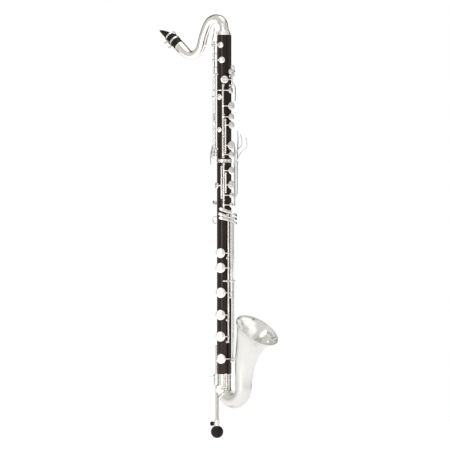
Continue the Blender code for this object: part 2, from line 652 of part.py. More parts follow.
def rod_frame(name, lines, joined_at):
    """Steel rods with the posts that carry them, standing on the body."""
    rods, rest = [], []
    for line in lines:
        _, angle, radius, posts = line_named(line)
        rods.append(cone(around(angle, radius, min(posts)), around(angle, radius, max(posts)),
                         ROD_R, ROD_R, 8))
        for z in posts:
            foot = BOW_FOOT_R.get(z, WOOD_R + GAP) if line == "rod_bow" else WOOD_R + GAP
            rest.append(cone(around(angle, foot, z), around(angle, radius + POST_R, z),
                             POST_R, POST_R * 0.9, 8))
    places = [(line_named(line)[1], z) for line, z in zip(lines, joined_at)]
    for (angle, z), (next_angle, next_z) in zip(places, places[1:]):
        path = [around(angle + (next_angle - angle) * k / 3, STRIP_R, z + (next_z - z) * k / 3)
                for k in range(4)]
        rest.append(bar(path, 1.1))
    if name == "low_rods":
        rest.append(bar([around(*place) for place in BRIDGE], 1.6))
    finished(combine(rods[0], rest + rods[1:], "UNION"), name, SILVER)


def arm_path(line_angle, line_radius, cup_angle, cup_top, z, clearance):
    """An arm that leaves its hinge tube, arches over what it crosses, and lands on its cup."""
    turn = cup_angle - line_angle
    start = around(line_angle, line_radius + 1.0, z)
    points = [start]
    for share in (0.15, 0.4, 0.65, 0.85):
        points.append(around(line_angle + turn * share, clearance - share * 1.0, z))
    points.append(around(cup_angle, cup_top + 0.6, z))
    return points


def opening_turn(line, cup_angle, seat, lift):
    """How far a key turns about its hinge, in radians, to lift the middle of its cup."""
    _, angle, radius, _ = line_named(line)
    hinge, cup = around(angle, radius, 0), around(cup_angle, seat, 0)
    arm = cup - hinge
    outward = (cup - side(0, 0)).normalized()
    travel = Vector((-arm.y, arm.x, 0.0)).dot(outward)
    return lift * MM / travel


def key(name, line, span, cups, wires):
    _, angle, radius, _ = line_named(line)
    low, high = span
    solids = [cone(around(angle, radius, low), around(angle, radius, high), TUBE_R, TUBE_R, 8)]
    for cup_angle, z, cup_r, lift in cups:
        seat = BOW_KEYS.get(name, SEAT_R)
        top = seat + CUP_HEIGHT
        cup = cone(around(cup_angle, seat, z), around(cup_angle, top, z), cup_r, cup_r * 0.86, 14)
        arm_z = min(max(z, low + 3.0), high - 3.0)
        clearance = CLEARANCE.get(name, max(radius, top) + 3.0)
        arm = bar(arm_path(angle, radius, cup_angle, top, arm_z, clearance), ARM_R)
        hinge = Matrix.Translation(around(angle, radius, 0))
        turn = Matrix.Rotation(opening_turn(line, cup_angle, seat, lift), 4, "Z")
        for solid in (cup, arm):
            solid.data.transform(hinge @ turn @ hinge.inverted())
        solids += [cup, arm]
    for wire in wires:
        route = [(angle, radius + 0.8, wire[0][2])] + wire[1:]
        solids.append(bar([around(*place) for place in smooth_path(route, 2)], 2.0))
    joined = combine(solids[0], solids[1:], "UNION")
    bore = cone(around(angle, radius, low - 1), around(angle, radius, high + 1),
                KEY_BORE_R, KEY_BORE_R, 8)
    middle = around(angle, radius, (low + high) / 2)
    finished(combine(joined, [bore], "DIFFERENCE"), name, SILVER, middle)


def keywork():
    for frame in FRAMES:
        rod_frame(*frame)
    for entry in KEYS:
        key(*entry)


# ---------------------------------------------------------------- fittings

def fittings():
    back = AXIS_X - WOOD_R - GAP
    base = block(Vector((back - 0.9, 0, REST_BOTTOM + REST_HEIGHT / 2)) * MM,
                 (2.4, 14.0, REST_HEIGHT))
    ledge = block(Vector((back - LEDGE_DEPTH / 2, 0, REST_BOTTOM + LEDGE_THICKNESS / 2)) * MM,
                  (LEDGE_DEPTH, LEDGE_WIDTH, LEDGE_THICKNESS))
    lip = block(Vector((back - LEDGE_DEPTH + 1.4, 0, REST_BOTTOM + 6)) * MM,
                (2.8, LEDGE_WIDTH, 12.0))
    rest = combine(base, [ledge, lip], "UNION")
    wood = cone(side(0, REST_BOTTOM - 20), side(0, REST_BOTTOM + 40), WOOD_R + GAP,
                WOOD_R + GAP, 56)
    finished(combine(rest, [wood], "DIFFERENCE"), "thumb_rest", SILVER)

    base = block(Vector((back - 0.9, 0, STRAP_Z)) * MM, (2.6, 9.0, 24.0))
    stem = cone(Vector((back, 0, STRAP_Z)) * MM, Vector((back - 4.2, 0, STRAP_Z)) * MM, 2.4, 2.4, 10)
    middle = back - STRAP_LOOP_R - STRAP_WIRE_R - 1.5
    loop = torus("loop", Vector((middle, 0, STRAP_Z)) * MM, (0, 1, 0), STRAP_LOOP_R,
                 STRAP_WIRE_R, 18)
    holder = combine(base, [stem, loop], "UNION")
    wood = cone(side(0, STRAP_Z - 25), side(0, STRAP_Z + 25), WOOD_R + GAP, WOOD_R + GAP, 56)
    finished(combine(holder, [wood], "DIFFERENCE"), "strap_ring", SILVER)


upper_joint()
lower_joint()
rings_and_corks()
bow_and_bell()
peg_holder()
peg()
neck()
mouthpiece()
ligature()
neck_screw()
keywork()
fittings()
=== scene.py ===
"""Looks for the low-C bass clarinet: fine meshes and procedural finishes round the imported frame.

Lengths are in millimetres unless a name or a comment says metres. A place round the wooden body
is an angle in degrees from +X, a distance from the body's axis, and a height.
"""

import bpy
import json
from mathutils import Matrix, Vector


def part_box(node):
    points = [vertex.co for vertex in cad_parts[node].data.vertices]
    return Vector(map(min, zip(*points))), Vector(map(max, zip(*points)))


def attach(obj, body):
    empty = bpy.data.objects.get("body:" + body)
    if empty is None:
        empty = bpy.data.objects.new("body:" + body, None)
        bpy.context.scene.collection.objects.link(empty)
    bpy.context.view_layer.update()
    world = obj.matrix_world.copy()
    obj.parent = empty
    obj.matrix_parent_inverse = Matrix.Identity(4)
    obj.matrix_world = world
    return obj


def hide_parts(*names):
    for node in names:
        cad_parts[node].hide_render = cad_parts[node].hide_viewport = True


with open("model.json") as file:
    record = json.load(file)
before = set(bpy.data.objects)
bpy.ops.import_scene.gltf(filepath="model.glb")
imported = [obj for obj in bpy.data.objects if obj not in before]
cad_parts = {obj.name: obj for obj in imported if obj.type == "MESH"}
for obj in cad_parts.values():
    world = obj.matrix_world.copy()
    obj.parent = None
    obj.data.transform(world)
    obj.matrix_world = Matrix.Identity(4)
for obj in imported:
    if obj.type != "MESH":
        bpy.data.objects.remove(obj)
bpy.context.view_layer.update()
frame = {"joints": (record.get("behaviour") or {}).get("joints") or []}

import json
from math import atan2, copysign, cos, pi, radians, sin, sqrt, tau

import bmesh
import bpy
from mathutils import Matrix, Vector

MM = 0.001
GAP = 0.3
UP = (0, 0, 1)

# Driving sizes, read from the frame
LOW_BOX, HIGH_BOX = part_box("upper_joint")
AXIS_X = (LOW_BOX[0] + HIGH_BOX[0]) / 2 / MM
WOOD_R = (HIGH_BOX[0] - LOW_BOX[0]) / 2 / MM
UPPER_TOP = HIGH_BOX[2] / MM
JOINT_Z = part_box("joint_ring")[1][2] / MM
RING_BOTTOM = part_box("joint_ring")[0][2] / MM
BOW_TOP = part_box("bow")[1][2] / MM
LOWER_BOTTOM = BOW_TOP + 0.6
WOOD_FOOT = (AXIS_X * MM, 0, 0)

# Sizes the frame doesn't give
BORE_R = 11.8
BOW_R = 17.5
NECK_R = 11.25
TUBE_R = 2.3
ROD_R = 1.2
SEAT_R = 20.8
CUP_HEIGHT = 4.6
MOUTH_R = 14.6
BALL_R = 2.65
KNOB_SEGMENTS = 60


# ------ places and curves

def around(angle, radius, z):
    turn = radians(angle)
    return Vector((AXIS_X + radius * cos(turn), radius * sin(turn), z)) * MM


def side(x, z, y=0.0):
    """A point in the middle plane, x in front of the body's axis."""
    return Vector((AXIS_X + x, y, z)) * MM


def smooth_path(points, per_span):
    """A Catmull-Rom curve through points, each a tuple of any length."""
    ends = [points[0]] + list(points) + [points[-1]]
    path = []
    for i in range(len(points) - 1):
        a, b, c, d = (ends[i + k] for k in range(4))
        for step in range(per_span):
            t = step / per_span
            path.append(tuple(
                0.5 * (2 * q + (r - p) * t + (2 * p - 5 * q + 4 * r - s) * t * t
                       + (3 * q - p - 3 * r + s) * t ** 3)
                for p, q, r, s in zip(a, b, c, d)))
    path.append(tuple(points[-1]))
    return path


def rounded(corner, start, end, steps=4):
    """A quarter turn as (r, h) points from one angle to another: corner is (r, h, radius)."""
    r, h, size = corner
    return [(r + size * cos(radians(a)), h + size * sin(radians(a)))
            for a in (start + (end - start) * k / steps for k in range(steps + 1))]


# ------ mesh building

def turns(count):
    """The cosine and sine of evenly spaced angles once round."""
    return [(cos(t), sin(t)) for t in (tau * k / count for k in range(count))]


def circle(radius, height, wide, tall, count):
    """A closed round section about (radius, height), as (r, z) points."""
    return [(radius + wide * c, height + tall * s) for c, s in turns(count)]


def add_object(name, data):
    thing = bpy.data.objects.new(name, data)
    bpy.context.scene.collection.objects.link(thing)
    return thing


class Solid:
    """Collects surfaces in one bmesh, in metres, and turns them into one object."""

    def __init__(self):
        self.bm = bmesh.new()

    def rings(self, rings, loop=False):
        """Joins rings of points, one after the other, with quads."""
        made = [[self.bm.verts.new(point) for point in ring] for ring in rings]
        pairs = list(zip(made, made[1:]))
        if loop:
            pairs.append((made[-1], made[0]))
        for low, high in pairs:
            count = len(low)
            for k in range(count):
                self.bm.faces.new((low[k - 1], low[k], high[k], high[k - 1]))
        if not loop:
            self.bm.faces.new(list(reversed(made[0])))
            self.bm.faces.new(made[-1])
        return self

    def lathe(self, base, axis, profile, sides=32, loop=False):
        """A profile of (radius, height) points turned about an axis from a base in metres."""
        axis = Vector(axis).normalized()
        across = axis.orthogonal().normalized()
        other = axis.cross(across)
        rings = []
        for r, h in profile:
            centre = Vector(base) + axis * h * MM
            rings.append([centre + (across * c + other * s) * max(r, 0.01) * MM for c, s in turns(sides)])
        return self.rings(rings, loop=loop)

    def sweep(self, path, widths, up, sides=12, power=1.0):
        """A bar along points in metres; widths are (across, along up) half sizes per point."""
        rings = []
        last = len(path) - 1
        for i, point in enumerate(path):
            ahead = (path[min(i + 1, last)] - path[max(i - 1, 0)]).normalized()
            lift = up(point) if callable(up) else Vector(up)
            lift = (lift - ahead * lift.dot(ahead)).normalized()
            across = ahead.cross(lift)
            wide, thick = widths[i]
            ring = []
            for k in range(sides):
                turn = tau * (k + 0.5) / sides
                c, s = cos(turn), sin(turn)
                c = copysign(abs(c) ** power, c)
                s = copysign(abs(s) ** power, s)
                ring.append(point + (across * c * wide + lift * s * thick) * MM)
            rings.append(ring)
        return self.rings(rings)

    def tube(self, stations, wall, sides=48):
        """A hollow tube in the middle plane from (x, z, radius) stations."""
        centres = [side(x, z) for x, z, _ in stations]
        last = len(centres) - 1
        outer, inner = [], []
        for i, (_, _, radius) in enumerate(stations):
            if i == 0:
                ahead = 4 * centres[1] - 3 * centres[0] - centres[2]
            elif i == last:
                ahead = 3 * centres[last] - 4 * centres[last - 1] + centres[last - 2]
            else:
                ahead = centres[i + 1] - centres[i - 1]
            normal = Vector((0, 1, 0)).cross(ahead).normalized()
            for rings, r in ((outer, radius), (inner, radius - wall)):
                rings.append([centres[i] + (normal * c + Vector((0, 1, 0)) * s) * r * MM
                              for c, s in turns(sides)])
        return self.rings(outer + inner[::-1], loop=True)

    def turned_by(self, matrix):
        bmesh.ops.transform(self.bm, matrix=matrix, verts=self.bm.verts)
        return self

    def plated(self, name, node, body="root"):
        """A silver piece that stands for one CAD node."""
        return self.done(name, SILVER, body, [node], "silver_plate")

    def done(self, name, material, body="root", replaces=(), slot=None, sharp=38):
        bmesh.ops.recalc_face_normals(self.bm, faces=self.bm.faces)
        mesh = bpy.data.meshes.new(name)
        self.bm.to_mesh(mesh)
        self.bm.free()
        mesh.materials.append(material)
        mesh.shade_smooth()
        mesh.set_sharp_from_angle(angle=radians(sharp))
        thing = add_object(name, mesh)
        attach(thing, body)
        if replaces:
            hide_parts(*replaces)
        return thing


# ------ materials

def add_node(nodes, kind, **values):
    """A new shader node, with constants on the sockets that are named."""
    made = nodes.new("ShaderNode" + kind)
    for socket, value in values.items():
        made.inputs[socket.replace("_", " ")].default_value = value
    return made


class Shader:
    """A small helper that builds a Principled material from procedural nodes."""

    def __init__(self, name, colour, roughness, metallic=0.0, **sockets):
        self.material = bpy.data.materials.new(name)
        self.material.use_nodes = True
        self.nodes = self.material.node_tree.nodes
        self.links = self.material.node_tree.links
        self.shader = self.nodes["Principled BSDF"]
        self.shader.inputs["Base Color"].default_value = (*colour, 1.0)
        self.shader.inputs["Roughness"].default_value = roughness
        self.shader.inputs["Metallic"].default_value = metallic
        for socket, value in sockets.items():
            self.shader.inputs[socket.replace("_", " ")].default_value = value
        self.coords = self.nodes.new("ShaderNodeTexCoord").outputs["Object"]

    def mapped(self, scale):
        mapping = add_node(self.nodes, "Mapping", Scale=scale)
        self.links.new(self.coords, mapping.inputs["Vector"])
        return mapping.outputs["Vector"]

    def noise(self, scale, stretch=(1, 1, 1), detail=4.0, distortion=0.0):
        noise = add_node(self.nodes, "TexNoise", Scale=scale, Detail=detail, Distortion=distortion)
        self.links.new(self.mapped(stretch), noise.inputs["Vector"])
        return noise.outputs["Fac"]

    def ramp(self, source, stops):
        ramp = self.nodes.new("ShaderNodeValToRGB")
        elements = ramp.color_ramp.elements
        while len(elements) < len(stops):
            elements.new(0.5)
        for element, (place, colour) in zip(elements, stops):
            element.position = place
            element.color = (*colour, 1.0)
        self.links.new(source, ramp.inputs["Fac"])
        return ramp.outputs["Color"]

    def multiplied(self, first, second, factor):
        mix = self.nodes.new("ShaderNodeMix")
        mix.data_type = "RGBA"
        mix.blend_type = "MULTIPLY"
        mix.inputs["Factor"].default_value = factor
        self.links.new(first, mix.inputs["A"])
        self.links.new(second, mix.inputs["B"])
        return mix.outputs["Result"]

    def to_range(self, source, low, high):
        """Spreads the middle of a noise's range over low to high."""
        spread = add_node(self.nodes, "MapRange", From_Min=0.3, From_Max=0.7, To_Min=low, To_Max=high)
        self.links.new(source, spread.inputs["Value"])
        return spread.outputs["Result"]

    def feed(self, source, socket):
        self.links.new(source, self.shader.inputs[socket])
        return self

    def tinted(self, source, stops):
        return self.feed(self.ramp(source, stops), "Base Color")

    def roughened(self, source, low, high):
        return self.feed(self.to_range(source, low, high), "Roughness")

    def bump(self, source, strength, distance):
        bump = add_node(self.nodes, "Bump", Strength=strength, Distance=distance)
        self.links.new(source, bump.inputs["Height"])
        self.links.new(bump.outputs["Normal"], self.shader.inputs["Normal"])
        return self


def finish(name, look, grain, stops, rough, bump=None, rough_grain=None, bump_grain=None, **sockets):
    """A finish from its look (colour, roughness, metallic) and one noise that varies it.

    A noise is (scale, stretch, detail, distortion). Roughness and bump can have their own.
    """
    s = Shader(name, *look, **sockets)
    main = s.noise(*grain)
    if stops:
        s.tinted(main, stops)
    s.roughened(s.noise(*rough_grain) if rough_grain else main, *rough)
    if bump:
        s.bump(s.noise(*bump_grain) if bump_grain else main, *bump)
    return s.material


def satin_silver():
    """The bell's satin plate: fine brushing round the tube under a soft sheen."""
    s = Shader("satin_silver", (0.82, 0.815, 0.80), 0.36, 1.0)
    brushing = s.noise(420, (1, 0.25, 1), detail=5)
    cloud = s.noise(14, detail=3)
    tone = s.ramp(cloud, [(0.30, (0.78, 0.77, 0.75)), (0.70, (0.85, 0.845, 0.83))])
    streak = s.ramp(brushing, [(0.35, (0.93, 0.93, 0.93)), (0.65, (1, 1, 1))])
    s.feed(s.multiplied(tone, streak, 0.8), "Base Color")
    s.roughened(brushing, 0.30, 0.44)
    return s.bump(brushing, 0.08, 0.0002).material


def grenadilla():
    """Oiled blackwood: long dark grain, short pores and a thin polish."""
    s = Shader("grenadilla", (0.02, 0.012, 0.011), 0.30, 0.0, Specular_IOR_Level=0.10,
               Coat_Weight=0.5, Coat_Roughness=0.13)
    grain = s.noise(160, (1, 1, 0.035), detail=6, distortion=0.4)
    pores = s.noise(900, (1, 1, 0.05), detail=3)
    figure = s.noise(22, (1, 1, 0.12), detail=3)
    base = s.ramp(grain, [(0.30, (0.007, 0.003, 0.003)), (0.52, (0.017, 0.008, 0.007)),
                          (0.75, (0.042, 0.019, 0.015))])
    pore = s.ramp(pores, [(0.36, (0.45, 0.42, 0.40)), (0.50, (1, 1, 1))])
    shade = s.ramp(figure, [(0.30, (0.78, 0.74, 0.72)), (0.70, (1.12, 1.05, 1.02))])
    s.feed(s.multiplied(s.multiplied(base, pore, 0.85), shade, 1.0), "Base Color")
    s.roughened(grain, 0.24, 0.38)
    return s.bump(pores, 0.12, 0.0002).material


EVEN = (1, 1, 1)
# Polished plate with faint handling marks and a little warmth
SILVER = finish("silver_plate", ((0.93, 0.91, 0.88), 0.14, 1.0), (60, EVEN, 5),
                [(0.30, (0.90, 0.875, 0.84)), (0.55, (0.945, 0.93, 0.90)), (0.80, (0.965, 0.955, 0.94))],
                (0.09, 0.22), (0.03, 0.0002), (140, EVEN, 6, 0.6), (900, (1, 1, 0.12), 2))
STEEL = finish("steel_rod", ((0.80, 0.79, 0.77), 0.2, 1.0), (1500, (0.05, 0.05, 1), 2), None,
               (0.16, 0.32), (0.05, 0.0001))
# The peg's drawn rod, a little darker and duller than the plated keys
PEG_METAL = finish("peg_metal", ((0.58, 0.55, 0.52), 0.3, 1.0), (700, (1, 1, 0.03), 3),
                   [(0.3, (0.50, 0.475, 0.45)), (0.7, (0.64, 0.61, 0.575))],
                   (0.24, 0.36), (0.05, 0.0001))
SATIN = satin_silver()
# The polished inside of the bell, which mirrors the keys in front of it
BRIGHT = finish("bright_silver", ((0.95, 0.94, 0.92), 0.16, 1.0), (18, EVEN, 3),
                [(0.3, (0.92, 0.91, 0.885)), (0.7, (0.97, 0.965, 0.95))],
                (0.14, 0.20), (0.03, 0.0003), bump_grain=(60, EVEN, 2))
WOOD = grenadilla()
EBONITE = finish("ebonite", ((0.012, 0.011, 0.012), 0.16, 0.0), (220, EVEN, 6, 0.8),
                 [(0.3, (0.004, 0.004, 0.004)), (0.75, (0.012, 0.011, 0.010))], (0.12, 0.26),
                 (0.03, 0.0001), bump_grain=(1200, (1, 0.1, 1), 2), Specular_IOR_Level=0.22)
CANE = finish("cane", ((0.78, 0.62, 0.36), 0.5), (900, (0.06, 1, 0.06), 4),
              [(0.3, (0.62, 0.46, 0.24)), (0.55, (0.80, 0.64, 0.38)), (0.8, (0.88, 0.76, 0.52))],
              (0.42, 0.62), (0.2, 0.0002))
CORK = finish("cork", ((0.55, 0.38, 0.22), 0.85), (420, EVEN, 5, 1.0),
              [(0.32, (0.24, 0.14, 0.07)), (0.5, (0.52, 0.36, 0.20)), (0.75, (0.70, 0.52, 0.32))],
              (0.75, 0.95), (0.5, 0.0004))
LEATHER = finish("pad_leather", ((0.84, 0.78, 0.68), 0.6, 0.0), (520, EVEN, 5, 0.5),
                 [(0.3, (0.70, 0.62, 0.50)), (0.7, (0.90, 0.85, 0.76))],
                 (0.5, 0.72), (0.35, 0.0003), Sheen_Weight=0.2)
RUBBER = finish("rubber", ((0.014, 0.010, 0.008), 0.55, 0.0), (600, EVEN, 4),
                [(0.3, (0.008, 0.006, 0.005)), (0.75, (0.022, 0.016, 0.013))],
                (0.38, 0.62), (0.25, 0.0003), (70, EVEN, 4), Specular_IOR_Level=0.2)
BLUED = finish("blued_steel", ((0.10, 0.13, 0.22), 0.3, 1.0), (200, EVEN, 3),
               [(0.3, (0.05, 0.07, 0.14)), (0.7, (0.16, 0.19, 0.30))], (0.22, 0.4))


# ------ wooden body

TONE_HOLES = [(5, z, 7.6) for z in (921.1, 879.8, 850.7, 829)] + [(-3, 971, 6.6)]
TONE_HOLES += [(5, 775.0, 10.2), (5, 750.5, 7.4), (-42, 949.8, 8.2), (-80, 903.7, 6.4),
               (-80, 817, 5.6), (-70, 1041.5, 6.2), (-61, 1001.7, 6.8)]
LOW_HOLES = [(5, 708.4, 8.4), (5, 670.5, 9.8), (5, 643.2, 5.8), (5, 617.5, 5.4),
             (-105, 669.0, 6.9)]
LOW_HOLES += [(-70, z, 11.4) for z in (490, 451, 385, 326, 269, 210)]


def chimney(solid, angle, z, radius, top=SEAT_R - 0.25, foot=15.5):
    """A raised tone hole: a ring of wood with a sharp crown and a dark bore."""
    wall = [(radius * 0.62, 0.0), (radius * 0.62, top - foot - 1.2), (radius * 0.72, top - foot - 0.5)]
    crown = [(radius * 0.86, top - foot), (radius * 0.95, top - foot - 0.2)]
    outside = [(radius * 1.02, top - foot - 1.6), (radius * 1.10, 0.0)]
    solid.lathe(around(angle, foot, z), around(angle, 1, z) - around(angle, 0, z),
                wall + crown + outside, 40, loop=True)


def grooved(radius, z_top, z_bottom):
    """A straight outside whose ends are softly rounded, as (r, z) from top to bottom."""
    top = rounded((radius - 1.6, z_top - 1.6, 1.6), 90, 0, 5)
    return top + rounded((radius - 1.6, z_bottom + 1.6, 1.6), 0, -90, 5)


def wooden_joint(name, profile, holes):
    solid = Solid().lathe(WOOD_FOOT, UP, profile, 96, loop=True)
    for angle, z, radius in holes:
        chimney(solid, angle, z, radius)
    solid.done(name + "_wood", WOOD, "root", [name], "grenadilla")


def body():
    shoulder = JOINT_Z + GAP
    tenon = [(13.8, shoulder), (13.8, shoulder - 24), (BORE_R, shoulder - 24), (BORE_R, UPPER_TOP)]
    wooden_joint("upper_joint", grooved(WOOD_R, UPPER_TOP, shoulder) + tenon, TONE_HOLES)
    rebate = WOOD_R - 1.4
    socket = [(15.2, JOINT_Z - 26), (15.2, JOINT_Z - 1), (rebate, JOINT_Z - 1),
              (rebate, RING_BOTTOM - GAP)]
    outside = grooved(WOOD_R, RING_BOTTOM - GAP, LOWER_BOTTOM)
    low = [(14.6, LOWER_BOTTOM), (14.6, LOWER_BOTTOM - 20), (BORE_R, LOWER_BOTTOM - 20),
           (BORE_R, JOINT_Z - 26)]
    wooden_joint("lower_joint", socket + outside + low, LOW_HOLES)
    bead = [(17.9, JOINT_Z), (17.9, RING_BOTTOM)]
    bead += rounded((19.2, RING_BOTTOM + 0.7, 0.7), -90, 0) + [(19.6, RING_BOTTOM + 2.2)]
    bead += rounded((19.1, JOINT_Z - 3.4, 0.9), -60, 60) + [(19.5, JOINT_Z - 2.0)]
    bead += rounded((19.3, JOINT_Z - 0.7, 0.7), 0, 90)
    Solid().lathe(WOOD_FOOT, UP, bead, 96, loop=True).plated("joint_ring_band", "joint_ring")
    for node in ("tenon_cork", "bow_cork", "neck_cork"):
        low_corner, high_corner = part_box(node)
        outer = (high_corner[0] - low_corner[0]) / 2 / MM
        bottom, top = low_corner[2] / MM, high_corner[2] / MM
        inner = {"tenon_cork": 14.1, "bow_cork": 14.9, "neck_cork": 10.9}[node]
        ring = [(inner, top), (inner, bottom)]
        ring += rounded((outer - 0.25, bottom + 0.25, 0.25), -90, 0)
        ring += rounded((outer - 0.25, top - 0.25, 0.25), 0, 90)
        Solid().lathe(WOOD_FOOT, UP, ring, 64, loop=True).done(
            node + "_sleeve", CORK, "root", [node], "cork")


# ------ neck socket, bow and bell

BEND_R = 36.0
BEND_Z = 134.5
BEND_SPLIT = 218.0
SPLIT_GAP = 0.6
BELL_SIDES = 96
BELL_FLARE = [(72.6, 152.0, 22.4), (75.2, 178.0, 24.6), (80.0, 205, 28.2), (87.6, 226.5, 32.4),
              (96.2, 246, 37.8), (106.0, 263.5, 45.0), (115.0, 276.4, 52.8), (122.2, 285.4, 61.3)]


def bend_station(angle, extra=0.0):
    turn = radians(angle)
    radius = BOW_R + 4.2 * (angle - 180.0) / 180.0 + extra
    return (BEND_R + BEND_R * cos(turn), BEND_Z + BEND_R * sin(turn), radius)


def neck_socket():
    base = UPPER_TOP
    profile = [(BORE_R, base + 10), (BORE_R, base + GAP), (17.0, base + GAP)]
    profile += rounded((16.9, base + 1.0, 0.7), -90, 30)
    profile += [(16.6, base + 2.2)] + rounded((16.3, base + 3.4, 0.9), -70, 80)
    profile += [(15.9, base + 4.8), (15.2, base + 5.6), (15.2, base + 7.4)]
    profile += rounded((14.9, base + 8.9, 0.8), -50, 90) + [(13.4, base + 10)]
    solid = Solid().lathe(WOOD_FOOT, UP, profile, 80, loop=True)
    boss = [(1.8, 0), (3.4, 0), (3.6, 3.0), (3.3, 5.6)] + rounded((2.7, 6.2, 0.6), 0, 90)
    boss += [(1.8, 6.8)]
    solid.lathe(around(180, 14, base + 5.5), (-1, 0, 0), boss, 28, loop=True)
    solid.plated("neck_socket_body", "neck_socket")


def bow_and_bell():
    bow = [(0, BOW_TOP - 17.5 * k / 4, BOW_R) for k in range(5)]
    end = BEND_SPLIT - SPLIT_GAP
    bow += [bend_station(180 + (end - 180) * k / 14) for k in range(15)]
    solid = Solid().tube(bow, 1.0, 64)
    for z in (BOW_TOP - 1.0, BOW_TOP - 15.0):
        ring = [(17.3, -0.9)] + rounded((17.6, 0.0, 0.9), -90, 90, 8) + [(17.3, 0.9)]
        solid.lathe(side(0, z), UP, ring, 64, loop=True)
    chimney(solid, -70, 129, 9.2, 22.9, 14.5)
    solid.plated("bow_tube", "bow")

    start = BEND_SPLIT + SPLIT_GAP
    bell = [bend_station(start + (360 - start) * k / 40) for k in range(41)]
    bell += smooth_path([bell[-1]] + BELL_FLARE, 6)[1:]
    solid = Solid().tube(bell, 0.9, BELL_SIDES)
    for number, face in enumerate(solid.bm.faces):
        face.material_index = int(len(bell) <= number // BELL_SIDES < 2 * len(bell) - 1)
    before, mouth = (side(x, z) for x, z, _ in bell[-2:])
    along = (mouth - before).normalized()
    radius = bell[-1][2] - 0.7
    solid.lathe(mouth, along, circle(radius, 0.4, 1.45, 1.45, 16), 96, loop=True)
    shell = solid.done("bell_shell", SATIN, "root", ["bell"], "satin_silver")
    shell.data.materials.append(BRIGHT)

    turns = [-5.5 + 11.0 * k / 10 for k in range(11)]
    band = [bend_station(BEND_SPLIT + t, 2.0 + 1.3 * cos(radians(t * 16))) for t in turns]
    Solid().tube(band, 1.7, 64).plated("bow_ring_band", "bow_ring")


# ------ neck

NECK_STATIONS = [(0, UPPER_TOP - 22), (0, UPPER_TOP - 8), (0, UPPER_TOP + 2), (0, 1086),
                 (-3.5, 1099), (-12, 1107.5), (-22, 1110.9), (-34, 1111.7), (-47, 1108.3),
                 (-57, 1101.5), (-66, 1090), (-73, 1076), (-80, 1060), (-86, 1042),
                 (-94, 1028), (-107, 1018.5), (-122, 1015.5), (-137, 1019.5), (-152, 1028.8),
                 (-168, 1041)]
MOUTH_JOINT = next(j for j in frame["joints"] if j["name"] == "mouthpiece_turn")
MOUTH_ROOT, MOUTH_AXIS = Vector(MOUTH_JOINT["pos_m"]), Vector(MOUTH_JOINT["axis"])
MOUTH_DOWN = Vector((-MOUTH_AXIS.z, 0.0, MOUTH_AXIS.x))
MOUTH_LENGTH = 83.9


def mouth_point(along, down=0.0, across=0.0):
    return MOUTH_ROOT + (MOUTH_AXIS * along + MOUTH_DOWN * down + Vector((0, across, 0))) * MM


def neck():
    stations = []
    for i, (x, z) in enumerate(NECK_STATIONS):
        radius = 10.6 if i < 2 else NECK_R
        stations.append((x, z, {16: 11.4, 17: 12.3, 18: 14.1, 19: 14.5}.get(i, radius)))
    path = smooth_path(stations, 6)
    solid = Solid().tube(path, 1.0, 56)
    for along, radius, width in ((-0.6, 14.6, 1.3), (-17.0, 14.1, 1.1), (-21.0, 13.6, 0.8)):
        ring = circle(radius, 0.0, 0.35 * width, width, 12)
        solid.lathe(mouth_point(along), MOUTH_AXIS, ring, 56, loop=True)
    collar = [(11.1, 0), (12.6, 0)] + rounded((12.4, 0.9, 0.7), -60, 70) + [(11.9, 2.4), (11.1, 2.6)]
    solid.lathe(side(0, UPPER_TOP + 10.4), UP, collar, 56, loop=True)
    guard = smooth_path([(-56.6, 1086.0), (-54.0, 1080), (-59.5, 1062), (-66, 1045), (-75.6, 1038)], 8)
    points = [side(x, z) for x, z in guard]
    solid.sweep(points, [(2.1, 0.9)] * len(points), (0, 1, 0), 12, 0.7)
    for place, lift in (((-54.6, 1078), (1, 0, -0.3)), ((-67.5, 1042.5), (0.6, 0, -0.8))):
        knob = [(0.01, -0.5), (1.6, -0.4), (1.7, 0.8)] + rounded((1.1, 1.2, 0.6), 0, 90) + [(0.01, 1.8)]
        solid.lathe(side(*place), lift, knob, 20)
    solid.plated("neck_tube", "neck", "neck")


